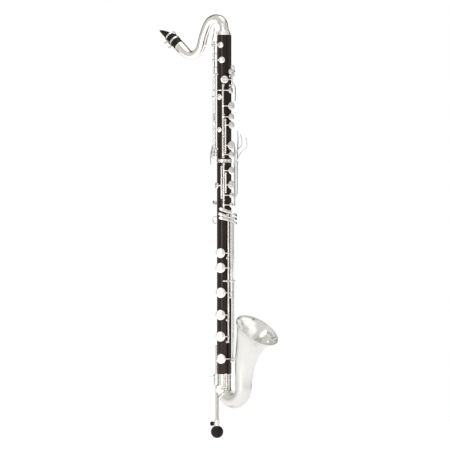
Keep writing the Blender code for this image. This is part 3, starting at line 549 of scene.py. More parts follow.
def mouthpiece():
    """A lofted ebonite body: round at the shank, then a beak whose sides and top slope to the tip."""
    rings = []
    sides = 48
    shank = [(-16, 11.2), (-1, 11.2), (2.6, 11.2), (3.0, 14.0), (3.6, MOUTH_R), (6.0, MOUTH_R)]
    for a, r in shank:
        rings.append([mouth_point(a, r * s, r * c) for c, s in turns(sides)])
    length = MOUTH_LENGTH
    steps = 40
    for i in range(1, steps + 1):
        a = 6.0 + (length - 6.0) * i / steps
        share = max(0.0, (a - 31.0) / (length - 31.0))
        radius = MOUTH_R - 1.3 * (a - 6.0) / (length - 6.0)
        top = -radius + (radius + 8.7) * share ** 1.04
        table = 10.2 - 0.7 * max(0.0, (a - 60) / 24)
        narrow = 1.0 - 0.42 * share ** 1.5
        blend = min(1.0, (a - 6.0) / 3.0)
        flat = MOUTH_R + (table - MOUTH_R) * blend
        rings.append([mouth_point(a, max(top, min(radius * s, flat)), radius * c * narrow)
                      for c, s in turns(sides)])
    solid = Solid().rings(rings)
    for a in (4.6, 6.0):
        solid.lathe(mouth_point(a), MOUTH_AXIS, circle(14.5, 0.0, 0.25, 0.35, 8), 64, loop=True)
    solid.done("mouthpiece_body", EBONITE, "mouthpiece", ["mouthpiece"], "ebonite")

    rings = []
    for i in range(33):
        share = i / 32
        a = 14.0 + (length - 1.0 - 14.0) * share
        bottom = 10.5 if a < 60 else 10.5 - 0.72 * (a - 60) / (length - 61)
        heel = 2.7 if a < 44 else 2.7 - 2.42 * ((a - 44) / (length - 45)) ** 0.9
        half = 6.4 + 0.5 * share
        if a > length - 6:
            half *= sqrt(max(0.05, 1 - ((a - length + 6) / 5.6) ** 2 * 0.75))
        ring = []
        for k in range(15):
            c = cos(pi * k / 14)
            crown = 1.0 if share > 0.5 else sqrt(1 - 0.45 * c * c)
            ring.append(mouth_point(a, bottom + heel * crown * (1 - 0.15 * c * c), half * c))
        ring += [mouth_point(a, bottom + 0.02, -half), mouth_point(a, bottom + 0.02, half)]
        rings.append(ring)
    Solid().rings(rings).done("reed_blade", CANE, "mouthpiece", ["reed"], "cane", 50)


SCREW_DOWN = 20.7
SCREW_ALONG = (22.5, 42.5)


def ligature():
    solid = Solid()
    for a in (SCREW_ALONG[0] - 2.5, SCREW_ALONG[1] - 2.5):
        inner, outer = 15.45, 16.25
        band = [(inner, 0.2), (inner, 4.8)] + rounded((outer - 0.3, 4.7, 0.3), 90, 0)
        band += [(outer - 0.25, 2.5)] + rounded((outer - 0.3, 0.3, 0.3), 0, -90)
        solid.lathe(mouth_point(a), MOUTH_AXIS, band, 72, loop=True)
    spine = [mouth_point(20.0 + 25.0 * k / 12, 16.6) for k in range(13)]
    solid.sweep(spine, [(4.4, 0.75)] * 13, MOUTH_DOWN, 16, 0.45)
    for a in SCREW_ALONG:
        for across in (-3.6, 3.6):
            post = [(2.3, 0), (2.5, 3.2)] + rounded((1.9, 4.9, 0.7), 10, 90) + [(0.01, 5.6)]
            solid.lathe(mouth_point(a, 16.6, across), MOUTH_DOWN, [(0.01, 0)] + post, 24)
    solid.plated("ligature_bands", "ligature", "mouthpiece")
    for number, a in enumerate(SCREW_ALONG, 1):
        node = f"ligature_screw_{number}"
        stem = [(0.01, 0), (0.9, 0.1)]
        stem += [(0.9 + 0.12 * (k % 2), 0.6 + 0.35 * k) for k in range(30)]
        head = [(1.2, 11.6), (2.5, 12.0), (3.0, 12.9)]
        head += rounded((2.4, 15.8, 0.6), 0, 90) + [(1.6, 16.1), (0.01, 16.1)]
        screw = Solid().lathe(mouth_point(a, SCREW_DOWN, 5.5), (0, -1, 0), stem + head, 28)
        blade = [mouth_point(a - 2.6 + 5.2 * k / 6, SCREW_DOWN, -10.2) for k in range(7)]
        widths = [(0.9, 1.9 + 0.9 * sin(pi * k / 6)) for k in range(7)]
        screw.sweep(blade, widths, (0, 1, 0), 12, 0.7)
        screw.plated(node + "_piece", node, node)


# ------ floor peg

# Heights of the two screws on the peg, in metres
FOOT_SCREW_Z = 0.0375
CLAMP_Z = 0.163


def ring_profile(inner, bottom, top, bulges):
    """A closed ring profile with a straight inside and (r, z) points up its outside."""
    return [(inner, top), (inner, bottom)] + bulges


def peg():
    low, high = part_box("peg_rod")
    bottom, top = low[2] / MM, high[2] / MM
    rod = [(0.01, bottom), (3.6, bottom), (4.0, bottom + 0.4)]
    for z in (bottom + 40, top - 12, top - 8):
        rod += [(4.0, z - 0.7), (3.7, z - 0.4), (3.7, z + 0.4), (4.0, z + 0.7)]
    rod += rounded((2.8, top - 1.2, 1.2), 0, 90) + [(0.01, top)]
    Solid().lathe((0, 0, 0), UP, rod, 40).done(
        "peg_rod_bar", PEG_METAL, "peg", ["peg_rod"], "silver_plate")

    outside = [(6.4, 31.0), (6.7, 31.4), (6.7, 33.0), (6.2, 33.4), (6.2, 34.2), (6.7, 34.6)]
    outside += [(6.7, 41.0), (6.2, 41.5), (6.2, 42.3), (6.7, 42.8), (6.7, 46.6)]
    outside += rounded((5.6, 47.4, 1.1), 0, 90)
    collar = Solid().lathe((0, 0, 0), UP, ring_profile(4.3, 31.0, 48.5, outside), 48, loop=True)
    boss = [(1.8, 0), (3.3, 0), (3.4, 1.6)] + rounded((2.8, 2.2, 0.6), 0, 90) + [(1.8, 2.8)]
    collar.lathe((-5.6 * MM, 0, FOOT_SCREW_Z), (-1, 0, 0), boss, 28, loop=True)
    collar.plated("foot_collar_sleeve", "foot_collar", "peg")

    ball_r, ball_z = 16.6, 16.2
    points = [(0.01, 0.0), (3.5, 0.0)]
    for k in range(3, 43):
        angle = radians(-90 + 180 * k / 48)
        r, z = ball_r * cos(angle), ball_z + ball_r * sin(angle)
        if z > 0.15 and r > 7.6:
            seam = 0.18 if k == 24 else 0.0
            points.append((r - seam, z))
    points += [(7.3, 31.5), (7.05, 31.2), (7.05, 30.75), (0.01, 30.75)]
    Solid().lathe((0, 0, 0), UP, points, 72).done(
        "foot_ball_rubber", RUBBER, "peg", ["foot_ball"], "rubber", 30)

    knob = [(0.01, 0), (1.5, 0), (1.5, 4.0), (3.4, 4.6), (4.4, 5.6), (4.9, 8.0), (5.6, 12.0)]
    knob += rounded((5.5, 15.6, 0.9), 0, 90) + [(2.6, 16.9), (2.2, 16.4), (0.01, 16.4)]
    start = Vector((-4.3 * MM, 0, FOOT_SCREW_Z))
    screw = Solid().lathe(start, (-1, 0, 0), knob, KNOB_SEGMENTS)
    for vert in screw.bm.verts:
        away = vert.co - start
        if away.x < -6.4 * MM and Vector((0, away.y, away.z)).length > 3.5 * MM:
            turn = atan2(away.z, away.y)
            share = 1.0 - 0.045 * (1 + cos(turn * 10)) / 2
            vert.co.y *= share
            vert.co.z = start.z + away.z * share
    screw.done("foot_screw_knob", EBONITE, "foot_screw", ["foot_screw"], "rubber")


def wing_screw(name, start, direction, shaft, reach, half_height, up):
    """A thumb screw whose thin wing is square to the direction up."""
    direction = Vector(direction)
    stem = [(0.01, 0), (1.3, 0)] + [(1.4 + 0.12 * (k % 2), 0.5 + 0.4 * k) for k in range(int(shaft / 0.4))]
    stem += [(r, shaft + h) for r, h in ((1.5, 0.6), (2.5, 1.0), (2.5, 1.9), (1.6, 2.5), (0.01, 2.8))]
    solid = Solid().lathe(start, direction, stem, 28)
    steps = 12
    path = [start + direction * (shaft + 0.6 + (reach - shaft - 0.8) * k / steps) * MM
            for k in range(steps + 1)]
    widths = []
    for k in range(steps + 1):
        share = k / steps
        spread = 2.0 + (half_height - 2.0) * sin(pi * min(1.0, share * 0.72)) ** 1.4
        widths.append((spread if k < steps else spread * 0.82, 1.0 - 0.35 * share))
    solid.sweep(path, widths, up, 20, 0.75)
    solid.plated(name + "_wing", name, name)


def peg_holder():
    outside = [(7.6, 141.0), (8.0, 141.4), (8.0, 143.0), (7.5, 143.4), (7.5, 144.2), (8.0, 144.6)]
    outside += [(8.0, 166.0), (7.5, 166.5), (7.5, 167.3), (8.0, 167.8), (8.0, 169.2)]
    outside += rounded((7.3, 169.3, 0.7), 0, 90)
    solid = Solid().lathe((0, 0, 0), UP, ring_profile(4.3, 141.0, 170.0, outside), 56, loop=True)
    steps = 10
    path = [Vector((7.0 * MM, 0, (144.6 + 21.8 * k / steps) * MM)) for k in range(steps + 1)]
    widths = [(5.4 - 1.0 * abs(2 * k / steps - 1) ** 3, 2.3) for k in range(steps + 1)]
    solid.sweep(path, widths, (1, 0, 0), 20, 0.4)
    boss = [(1.8, 0), (4.0, 0), (4.1, 3.0)] + rounded((3.5, 3.9, 0.6), 0, 90) + [(1.8, 4.5)]
    solid.lathe((-6.0 * MM, 0, CLAMP_Z), (-1, 0, 0), boss, 32, loop=True)
    solid.plated("peg_holder_sleeve", "peg_holder")


def thumb_screws():
    wing_screw("peg_clamp_screw", Vector((-4.3 * MM, 0, CLAMP_Z)), (-1, 0, 0), 7.4, 20.9, 6.4, (0, 0, 1))
    wing_screw("neck_clamp_screw", around(180, 12.3, UPPER_TOP + 5.5), (-1, 0, 0), 9.6, 17.2, 4.6,
               (0, 1, 0))


# ------ thumb rest and strap ring

def outward(point):
    """The direction away from the body's axis at a point in metres."""
    return Vector((point.x - AXIS_X * MM, point.y, 0.0)).normalized()


def curved_plate(solid, angle, radius, z_low, z_high, half_angle, thickness):
    """A thin plate that hugs the wood, with rounded ends."""
    corner = 3.0
    steps = 16
    path = [around(angle, radius, z_low + (z_high - z_low) * k / steps) for k in range(steps + 1)]
    rings = []
    for point in path:
        z = point.z / MM
        end = min(z - z_low, z_high - z)
        shrink = 1.0 if end >= corner else sqrt(max(0.04, 1 - ((corner - end) / corner) ** 2))
        angles = [angle + half_angle * shrink * (2 * k / steps - 1) for k in range(steps + 1)]
        rings.append([around(a, radius + thickness / 2, z) for a in angles]
                     + [around(a, radius - thickness / 2, z) for a in reversed(angles)])
    solid.rings(rings)


def screw_head(solid, place, direction, radius):
    """A small domed screw head."""
    height = 0.8
    direction = Vector(direction).normalized()
    head = [(radius, 0.0)] + rounded((radius - 0.35, height - 0.35, 0.35), 0, 90)
    solid.lathe(place, direction, [(0.01, 0.0)] + head + [(0.01, height)], 20)


def fittings():
    back = WOOD_R + GAP
    rest = Solid()
    curved_plate(rest, 180, back + 0.9, 618.4, 640, 20, 1.5)
    hook = smooth_path([(0.6, 619.7), (6.0, 619.6), (12.0, 619.7), (15.6, 621.2), (16.8, 624.6),
                        (16.9, 629.0)], 5)
    path = [around(180, back + x, z) for x, z in hook]
    count = len(path)
    widths = [(7.7 - 2.4 * max(0, (k / (count - 1) - 0.8) / 0.2) ** 2, 1.3) for k in range(count)]
    rest.sweep(path, widths, (-0.35, 0, 1), 20, 0.5)
    for z in (628, 635.5):
        screw_head(rest, around(180, back + 1.5, z), (-1, 0, 0), 1.8)
    rest.plated("thumb_rest_plate", "thumb_rest")

    low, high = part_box("strap_ring")
    z = (low[2] + high[2]) / 2 / MM
    loop = Solid()
    curved_plate(loop, 180, back + 0.9, z - 12, z + 12, 14, 1.5)
    loop.lathe(around(180, back + 1.2, z), (-1, 0, 0),
               [(0.01, 0), (3.2, 0), (2.6, 0.7), (2.2, 1.4), (2.1, 2.2), (0.01, 2.4)], 28)
    loop.lathe(around(180, back + 12.9, z), (0, 1, 0), circle(9.5, 0.0, 1.85, 1.85, 16), 64, loop=True)
    for offset in (-8.5, 8.5):
        screw_head(loop, around(180, back + 1.5, z + offset), (-1, 0, 0), 1.7)
    loop.plated("strap_ring_loop", "strap_ring")


# ------ keywork tables

# Hinge lines: angle, distance from the body's axis, heights of the posts.
HINGE_LINES = {
    "rod_register": (-145, 28.0, (1049, 748)),
    "rod_vent": (-128, 28.0, (1018, 981, 755)),
    "rod_trill": (-112, 27.5, (964, 767)),
    "rod_throat": (5, 27.0, (959, 934)),
    "rod_top_stack": (30, 26.5, (985, 961)),
    "rod_left_stack": (-52, 26.5, (935, 857, 799, 745)),
    "rod_middle_stack": (-38, 26.5, (843, 800, 757)),
    "rod_side_cup": (-61, 26.5, (718, 637)),
    "rod_right_stack": (-48, 26.5, (726, 690, 631, 604)),
    "rod_short": (-36, 26.5, (701, 652)),
    "rod_low_first": (-20, 26.5, (591, 477, 416, 313, 255)),
    "rod_low_second": (-2, 26.5, (601, 373)),
    "rod_low_third": (20, 26.5, (584, 416, 204)),
    "rod_bow": (-32, 28.0, (168, 129.5)),
    "rod_left_hand": (58, 29.0, (769, 702, 617)),
}
OPEN = 3.0
# A key: name, hinge line, tube's bottom and top, its cup as (angle, height, radius, how far it
# stands open) and, where it has them, the half width of its finger plates and its levers as
# lists of (angle, distance, height).
KEYS = [
    ("register_key", "rod_register", (751, 1046), (-70, 1041.5, 8.0, 0), 3.4,
     [[(-148, 30, 756), (-158, 35, 760), (-172, 36, 768), (-180, 34, 777)],
      [(-145, 30, 1036), (-134, 32.5, 1042), (-134, 32, 1056), (-141, 28.5, 1068), (-145, 27, 1088)]]),
    ("vent_key", "rod_vent", (984, 1015), (-61, 1001.7, 8.6, 0)),
    ("upper_side_key", "rod_vent", (758, 978), (-80, 903.7, 8.0, 0), 3.2,
     [[(-128, 30, 764), (-127, 35, 759.5), (-125, 36.5, 742), (-124, 35.5, 724)]]),
    ("lower_side_key", "rod_trill", (770, 822), (-80, 817, 7.0, 0), 3.0,
     [[(-112, 30, 776), (-111, 34.5, 771.5), (-109, 36, 756), (-108, 35, 741)]]),
    ("trill_key", "rod_trill", (825, 961), (5, 921.1, 8.0, 0), 2.8,
     [[(-112, 29, 836), (-108, 32, 844), (-103, 33, 854), (-100, 32, 860)]]),
    ("throat_key", "rod_throat", (937, 956), (-42, 949.8, 10.0, 0), 3.0,
     [[(8, 29, 941), (20, 31, 930), (27, 31, 912), (29, 30, 893)]]),
    ("thumb_hole_key", "rod_top_stack", (964, 982), (-3, 971, 8.2, OPEN)),
    ("first_finger_key", "rod_left_stack", (860, 932), (5, 879.8, 10.8, OPEN)),
    ("second_finger_key", "rod_left_stack", (802, 854), (5, 850.7, 9.5, OPEN)),
    ("third_finger_key", "rod_middle_stack", (803, 840), (5, 829.0, 9.5, OPEN)),
    ("bridge_key", "rod_middle_stack", (760, 797), (5, 775.0, 12.0, OPEN)),
    ("joint_key", "rod_left_stack", (748, 796), (5, 750.5, 9.0, OPEN)),
    ("fourth_finger_key", "rod_right_stack", (693, 723), (5, 708.4, 10.0, OPEN)),
    ("fifth_finger_key", "rod_short", (655, 698), (5, 670.5, 11.5, OPEN)),
    ("sixth_finger_key", "rod_right_stack", (634, 687), (5, 643.2, 7.2, OPEN)),
    ("small_resonance_key", "rod_right_stack", (607, 628), (5, 617.5, 6.8, OPEN)),
    ("side_cup_key", "rod_side_cup", (640, 715), (-105, 669.0, 8.5, 0)),
    ("low_e_key", "rod_low_first", (480, 588), (-70, 490, 13.0, OPEN), 3.6,
     [[(-20, 28.5, 584), (-30, 32, 586.5), (-52, 33.5, 591), (-74, 33, 595)],
      [(-20, 28.5, 584), (-10, 33.5, 583.5), (6, 34, 582), (24, 33.5, 580.5), (36, 33, 579.5)]]),
    ("low_e_flat_key", "rod_low_first", (419, 474), (-70, 451, 13.5, OPEN)),
    ("low_d_key", "rod_low_second", (376, 598), (-70, 385, 13.8, OPEN), 4.1,
     [[(-2, 28.5, 594), (-20, 33.5, 598.5), (-48, 35, 604), (-68, 34, 608)],
      [(-2, 28.5, 594), (8, 33, 592.5), (24, 33.5, 590.5), (36, 33, 589.5)]]),
    ("low_d_vent_key", "rod_low_first", (316, 413), (-70, 326, 13.6, OPEN)),
    ("low_c_sharp_key", "rod_low_first", (258, 310), (-70, 269, 13.3, OPEN)),
    ("low_lever", "rod_low_third", (419, 581), None, 3.6,
     [[(20, 28.5, 571), (4, 34, 573), (-30, 35.5, 579), (-70, 34, 584)],
      [(20, 28.5, 571), (28, 32.5, 569.5), (37, 33, 568)]]),
    ("low_c_key", "rod_low_third", (207, 413), (-70, 210, 13.0, OPEN)),
    ("bow_key", "rod_bow", (132.5, 165), (-70, 129, 11.4, OPEN)),
    ("left_lever_upper", "rod_left_hand", (742, 766), None, 2.6,
     [[(57, 31, 752), (53, 36, 764), (49, 43, 771), (46, 46.5, 778), (45, 46.5, 792), (44, 43, 806)]]),
    ("left_lever_middle", "rod_left_hand", (705, 736), None, 2.6,
     [[(58, 31, 728), (56, 36, 738), (50, 41, 751), (46, 52, 763), (45, 59, 771), (45, 60, 783),
       (45, 57, 796)]]),
    ("left_lever_lower", "rod_left_hand", (620, 699), None, 2.6,
     [[(59, 31, 640), (65, 37, 655), (69, 38, 715), (69, 39, 765), (66, 39.5, 785), (60, 38, 800),
       (54, 36, 814)]]),
]
BOW_SEAT_R = 23.4
BOW_FOOT_R = {168: 18.4, 129.5: 19.8}
STRIP_R = 21.8
FRAMES = [
    ("left_rods", ("rod_register", "rod_vent", "rod_trill"), (748, 755, 767)),
    ("upper_stack_rods", ("rod_left_stack", "rod_middle_stack"), (799, 800)),
    ("lower_stack_rods", ("rod_side_cup", "rod_right_stack", "rod_short"), (637, 690, 701)),
    ("low_rods", ("rod_low_first", "rod_low_second", "rod_low_third"), (591, 601, 584)),
    ("throat_rods", ("rod_top_stack", "rod_throat"), (961, 959)),
    ("bow_rod", ("rod_bow",), ()),
    ("left_hand_rod", ("rod_left_hand",), ()),
]
BRIDGE = ((-54, 20.5, 416), (-52, 27, 416), (-38, 30, 416), (-20, 29.8, 416), (-10, 32.5, 416),
          (-2, 33.5, 416), (8, 32.5, 416), (20, 29.8, 416), (34, 29.5, 416))
# Arms that pass over other hinge lines need more room under them.
CLEARANCE = {"register_key": 33.5, "vent_key": 31.0, "upper_side_key": 32.8, "trill_key": 32.8,
             "low_d_key": 32.5, "low_c_key": 32.0}
# Turned collars along the lower ends of the three left tubes.
RIBS = {"register_key": [766 + 10.8 * k for k in range(6)],
        "upper_side_key": [777 + 10.8 * k for k in range(5)],
        "lower_side_key": [784 + 10.8 * k for k in range(3)]}


def straight_out(angle):
    turn = radians(angle)
    return Vector((cos(turn), sin(turn), 0.0))


# ------ posts and rods

def post(solid, angle, foot, line_radius, z):
    """A turned post: a round foot, a waisted stem and a ball that the rod goes through."""
    height = line_radius - foot
    stem = [(0.01, -0.2), (3.3, -0.2), (3.4, 0.5), (3.0, 0.95), (2.1, 1.3), (1.7, 2.0)]
    stem += [(1.35, height - 4.4), (1.9, height - 3.2), (1.9, height - 2.7), (1.5, height - 2.3)]
    ball = [(BALL_R * cos(radians(a)), height + BALL_R * sin(radians(a)))
            for a in range(-50, 90, 14)]
    solid.lathe(around(angle, foot, z), straight_out(angle), stem + ball + [(0.01, height + BALL_R)], 26)


def rod_frame(name, lines, joined_at):
    posts, rods, springs = Solid(), Solid(), Solid()
    for line in lines:
        angle, radius, heights = HINGE_LINES[line]
        low, high = min(heights), max(heights)
        length = high - low
        rod = [(0.45, -2.6), (1.5, -2.6), (1.65, -2.3), (1.2, -1.6), (ROD_R, 0.0)]
        rod += [(r, length - h) for r, h in reversed(rod)]
        rods.lathe(around(angle, radius, low), UP, rod, 20)
        for z in heights:
            foot = BOW_FOOT_R.get(z, WOOD_R + GAP) if line == "rod_bow" else WOOD_R + GAP
            post(posts, angle, foot, radius, z)
    places = [(HINGE_LINES[line][0], z) for line, z in zip(lines, joined_at)]
    for (angle, z), (next_angle, next_z) in zip(places, places[1:]):
        path = [around(angle + (next_angle - angle) * k / 8, STRIP_R, z + (next_z - z) * k / 8)
                for k in range(9)]
        posts.sweep(path, [(1.5, 0.8)] * 9, outward, 16, 0.7)
    if name == "low_rods":
        arch = [around(*place) for place in smooth_path(BRIDGE, 6)]
        count = len(arch)
        posts.sweep(arch, [(1.2 + 0.5 * sin(pi * k / (count - 1)), 1.1) for k in range(count)],
                    outward, 16, 0.8)
    posts.plated(name + "_posts", name)
    rods.done(name + "_steels", STEEL, "root", [name], "silver_plate")
    for _, line, span, cup, *_ in KEYS:
        if line in lines and cup:
            spring(springs, line, span)
    if springs.bm.verts:
        springs.done(name + "_springs", BLUED, "root")
    else:
        springs.bm.free()


def spring(solid, line, span):
    """A needle spring that leaves a post and runs along the key's tube."""
    angle, radius, heights = HINGE_LINES[line]
    low, high = span
    z = min(heights, key=lambda h: abs(h - low))
    reach = min(15.0, (high - low) * 0.55)
    path = [around(angle + 3 * k / 8, radius - 2.9, z + 1.2 + reach * k / 8) for k in range(9)]
    solid.sweep(path, [(0.42 - 0.02 * k, 0.42 - 0.02 * k) for k in range(9)], outward, 8)


# ------ keys

def hinge_tube(solid, angle, radius, low, high):
    """A tube on its steel rod, with a turned collar at each end."""
    inner = ROD_R + 0.25
    end = [(inner, 0.0), (2.15, 0.0), (2.35, 0.2), (2.35, 1.5), (2.15, 1.7), (2.15, 2.0)]
    end += [(TUBE_R - 0.08, 2.2)]
    length = high - low
    profile = end + [(r, length - h) for r, h in reversed(end)]
    solid.lathe(around(angle, radius, low), UP, profile, 28, loop=True)


def saddle(solid, angle, radius, z):
    """The thicker sleeve where an arm is brazed on to its tube."""
    half = 2.6
    profile = [(TUBE_R - 0.3, -half), (2.55, -half), (2.8, -half + 0.4)]
    profile += [(2.8, half - 0.4), (2.55, half), (TUBE_R - 0.3, half)]
    solid.lathe(around(angle, radius, z), UP, profile, 28, loop=True)


def cup_shape(solid, angle, seat, z, radius):
    """A stepped pad cup with a rolled rim, a low dome and a raised centre."""
    profile = [(0.01, 1.0), (radius * 0.95, 1.0), (radius - 0.15, 1.05), (radius, 1.25)]
    profile += [(radius, 2.35), (radius - 0.2, 2.65), (radius - 0.75, 2.8), (radius - 0.95, 3.0)]
    crown = radius - 1.5
    profile += [(crown * cos(t), 3.15 + 1.15 * sin(t))
                for t in (radians(a) for a in range(8, 80, 9))]
    profile += [(radius * 0.17, 4.33), (radius * 0.16, 4.55), (radius * 0.11, 4.75), (0.01, 4.8)]
    solid.lathe(around(angle, seat, z), straight_out(angle), profile, 56)


def pad_shape(solid, angle, seat, z, radius):
    face = radius * 0.86
    profile = [(0.01, 0.12), (face * 0.5, 0.12), (face * 0.56, 0.0), (face, 0.02)]
    profile += rounded((face, 0.55, 0.5), -80, 20) + [(face + 0.45, 1.3), (0.01, 1.3)]
    solid.lathe(around(angle, seat, z), straight_out(angle), profile, 48)


def arm_shape(solid, line, cup, seat, span, clearance):
    """An arm that leaves its hinge tube, arches over what it crosses, and lies on its cup."""
    angle, radius, _ = HINGE_LINES[line]
    cup_angle, z, _, _ = cup
    low, high = span
    top = seat + CUP_HEIGHT
    arm_z = min(max(z, low + 3.0), high - 3.0)
    turn = cup_angle - angle
    points = [(angle, radius + ROD_R + 1.2, arm_z)]
    for share in (0.15, 0.4, 0.65, 0.85):
        points.append((angle + turn * share, clearance - share, arm_z))
    points.append((cup_angle, top + 0.55, z))
    path = [around(*place) for place in smooth_path(points, 8)]
    past = around(cup_angle, top + 0.2, z) - path[-5]
    past = (past - straight_out(cup_angle) * past.dot(straight_out(cup_angle))).normalized()
    path += [path[-1] + past * step * MM for step in (1.0, 1.9, 2.6)]
    count = len(path)
    widths = []
    for k in range(count):
        share = k / (count - 1)
        wide = 2.3 - 1.1 * sin(pi * min(share * 1.25, 1.0)) ** 0.8
        if share > 0.8:
            wide = 1.2 + 0.9 * sin(pi * (share - 0.8) / 0.2 * 0.62)
        widths.append((wide, 1.05))
    widths[-2] = (1.25, 0.9)
    widths[-1] = (0.55, 0.6)
    solid.sweep(path, widths, outward, 16, 0.75)
    saddle(solid, angle, radius, arm_z)


def touch_shape(solid, line, route, half_width):
    """A lever that leaves its tube as a narrow arm and widens into a finger plate."""
    angle, radius, _ = HINGE_LINES[line]
    route = [(angle, radius + ROD_R + 1.4, route[0][2])] + route[1:]
    path = [around(*place) for place in smooth_path(route, 12)]
    lengths = [0.0]
    for before, after in zip(path, path[1:]):
        lengths.append(lengths[-1] + (after - before).length / MM)
    total = lengths[-1]
    widths = []
    for run in lengths:
        share = run / total
        grow = min(1.0, max(0.0, (share - 0.05) / 0.30))
        grow = grow * grow * (3 - 2 * grow)
        wide = 1.5 + (half_width - 1.5) * grow
        left = total - run
        if left < half_width:
            wide *= sqrt(max(0.03, 1 - (1 - left / half_width) ** 2))
        widths.append((wide, 1.3 - 0.35 * grow))
    solid.sweep(path, widths, outward, 20, 0.7)
    saddle(solid, angle, radius, route[0][2])


def opening_turn(line, cup_angle, seat, lift):
    """The turn about a key's hinge that lifts the middle of its cup."""
    angle, radius, _ = HINGE_LINES[line]
    hinge, cup = around(angle, radius, 0), around(cup_angle, seat, 0)
    arm = cup - hinge
    travel = Vector((-arm.y, arm.x, 0.0)).dot(straight_out(cup_angle))
    centre = Matrix.Translation(hinge)
    return centre @ Matrix.Rotation(lift * MM / travel, 4, "Z") @ centre.inverted()


def key(name, line, span, cup, half_width=0, levers=()):
    angle, radius, _ = HINGE_LINES[line]
    solid = Solid()
    if cup:
        cup_angle, z, cup_r, lift = cup
        seat = BOW_SEAT_R if name == "bow_key" else SEAT_R
        turn = opening_turn(line, cup_angle, seat, lift)
        clearance = CLEARANCE.get(name, max(radius, seat + CUP_HEIGHT) + 3.0)
        cup_shape(solid, cup_angle, seat, z, cup_r)
        arm_shape(solid, line, cup, seat, span, clearance)
        solid.turned_by(turn)
        pad = Solid()
        pad_shape(pad, cup_angle, seat, z, cup_r)
        pad.turned_by(turn).done(name + "_pad", LEATHER, name)
    hinge_tube(solid, angle, radius, *span)
    for z in RIBS.get(name, ()):
        rib = [(TUBE_R - 0.3, -1.3), (2.9, -1.3), (3.3, -0.9), (3.3, 0.9), (2.9, 1.3), (TUBE_R - 0.3, 1.3)]
        solid.lathe(around(angle, radius, z), UP, rib, 28, loop=True)
    for lever in levers:
        touch_shape(solid, line, lever, half_width)
    solid.plated(name + "_metal", name, name)


# ------ studio

def plane(name, centre, across, up, material):
    """A flat sheet of the studio, given by its centre and two half edges in metres."""
    centre, across, up = Vector(centre), Vector(across), Vector(up)
    mesh = bpy.data.meshes.new(name)
    corners = [centre - across - up, centre + across - up, centre + across + up, centre - across + up]
    mesh.from_pydata([tuple(c) for c in corners], [], [(0, 1, 2, 3)])
    mesh.materials.append(material)
    sheet = add_object(name, mesh)


def area_light(name, place, aim, size, power):
    light = bpy.data.lights.new(name, "AREA")
    light.shape = "RECTANGLE"
    light.size, light.size_y = size
    light.energy = power
    lamp = add_object(name, light)
    lamp.location = place
    lamp.rotation_euler = (Vector(aim) - Vector(place)).to_track_quat("-Z", "Y").to_euler()


# The camera: angle round the object in degrees, then metres, and the sensor in millimetres
VIEW_ANGLE = -45.0
CAMERA_DISTANCE = 30.0
FRAME_HEIGHT = 1.1925
SENSOR = 36.0
TARGET = Vector((AXIS_X + 1.5, 1.5, 564.5)) * MM
# The lights and the floor: places and sizes in metres, powers in watts
MIDDLE_Z = 0.6
KEY_OUT, KEY_ASIDE, KEY_UP = 2.1, 1.65, 0.1
KEY_SIZE, KEY_WATTS = (0.65, 2.4), 17
TOP_OUT, TOP_UP = 0.4, 3.0
TOP_SIZE, TOP_WATTS = (2.4, 2.4), 12
FLOOR_HALF = 3.0
FLOOR_GLOW = 0.47
# What surrounds the object, as soft patches added to an even light: direction (right, towards
# the camera, up), the cosines between which a patch grows, and its strength. Pairs of opposite
# strength make the dark bands that outline round metal.
SURROUNDINGS = [
    ((0.0, -1.0, 0.0), 0.25, 0.82, -0.64),
    ((1.0, 0.0, 0.0), 0.62, 0.66, -0.50),
    ((1.0, 0.0, 0.0), 0.74, 0.78, 0.46),
    ((-1.0, 0.0, 0.0), 0.50, 0.54, -0.42),
    ((-1.0, 0.0, 0.0), 0.60, 0.64, 0.40),
    ((0.0, 0.0, 1.0), 0.5, 0.9, 0.15),
]
BASE_LIGHT = 0.68


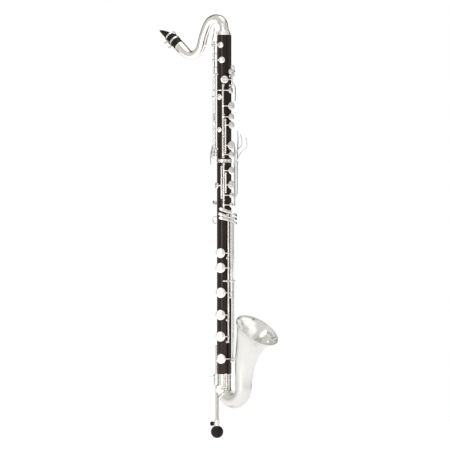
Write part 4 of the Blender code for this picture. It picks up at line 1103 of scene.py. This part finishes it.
def surroundings(tree, out, across):
    """A light tent for the surfaces to reflect, and plain white where nothing is in front."""
    nodes, links = tree.nodes, tree.links
    direction = nodes.new("ShaderNodeTexCoord").outputs["Generated"]
    total = None
    for (right, front, up), fade, full, strength in SURROUNDINGS:
        dot = nodes.new("ShaderNodeVectorMath")
        dot.operation = "DOT_PRODUCT"
        links.new(direction, dot.inputs[0])
        dot.inputs[1].default_value = (across * right + out * front + Vector((0, 0, up))).normalized()
        patch = add_node(nodes, "MapRange", From_Min=fade, From_Max=full, To_Max=strength)
        patch.interpolation_type = "SMOOTHSTEP"
        links.new(dot.outputs["Value"], patch.inputs["Value"])
        add = nodes.new("ShaderNodeMath")
        add.operation = "ADD"
        links.new(patch.outputs["Result"], add.inputs[0])
        if total is None:
            add.inputs[1].default_value = BASE_LIGHT
        else:
            links.new(total, add.inputs[1])
        total = add.outputs["Value"]
    tent = nodes["Background"]
    tent.inputs["Color"].default_value = (1.0, 0.985, 0.97, 1.0)
    links.new(total, tent.inputs["Strength"])
    white = add_node(nodes, "Background", Color=(1.0, 1.0, 1.0, 1.0))
    paths = nodes.new("ShaderNodeLightPath")
    mix = nodes.new("ShaderNodeMixShader")
    links.new(paths.outputs["Is Camera Ray"], mix.inputs["Fac"])
    links.new(tent.outputs["Background"], mix.inputs[1])
    links.new(white.outputs["Background"], mix.inputs[2])
    links.new(mix.outputs["Shader"], nodes["World Output"].inputs["Surface"])


def studio():
    out = straight_out(VIEW_ANGLE)
    across = Vector((-out.y, out.x, 0.0))
    world = bpy.data.worlds.new("studio")
    world.use_nodes = True
    surroundings(world.node_tree, out, across)
    bpy.context.scene.world = world
    view = bpy.context.scene.view_settings
    view.view_transform = "Standard"
    view.look = "None"
    view.exposure = 0.0
    view.gamma = 1.0

    pale = Shader("studio_floor", (0.93, 0.93, 0.92), 0.9)
    pale.tinted(pale.noise(3, detail=2), [(0.3, (0.92, 0.92, 0.91)), (0.7, (0.95, 0.95, 0.94))])
    pale.shader.inputs["Emission Color"].default_value = (1.0, 1.0, 1.0, 1.0)
    pale.shader.inputs["Emission Strength"].default_value = FLOOR_GLOW
    plane("floor", (0, 0, 0), (FLOOR_HALF, 0, 0), (0, FLOOR_HALF, 0), pale.material)

    middle = Vector((AXIS_X * MM, 0, MIDDLE_Z))
    key_place = middle + out * KEY_OUT - across * KEY_ASIDE + Vector((0, 0, KEY_UP))
    top_place = middle + Vector((0, 0, TOP_UP)) + out * TOP_OUT
    area_light("key_light", key_place, middle, KEY_SIZE, KEY_WATTS)
    area_light("top_light", top_place, middle, TOP_SIZE, TOP_WATTS)

    camera = bpy.data.cameras.new("camera")
    camera.sensor_width = SENSOR
    camera.lens = SENSOR * CAMERA_DISTANCE / FRAME_HEIGHT
    camera.clip_end = 200.0
    eye = add_object("camera", camera)
    eye.location = TARGET + out * CAMERA_DISTANCE
    eye.rotation_euler = (-out).to_track_quat("-Z", "Y").to_euler()
    bpy.context.scene.camera = eye


body()
neck_socket()
bow_and_bell()
neck()
mouthpiece()
ligature()
peg()
peg_holder()
thumb_screws()
fittings()
for entry in FRAMES:
    rod_frame(*entry)
for entry in KEYS:
    key(*entry)
studio()
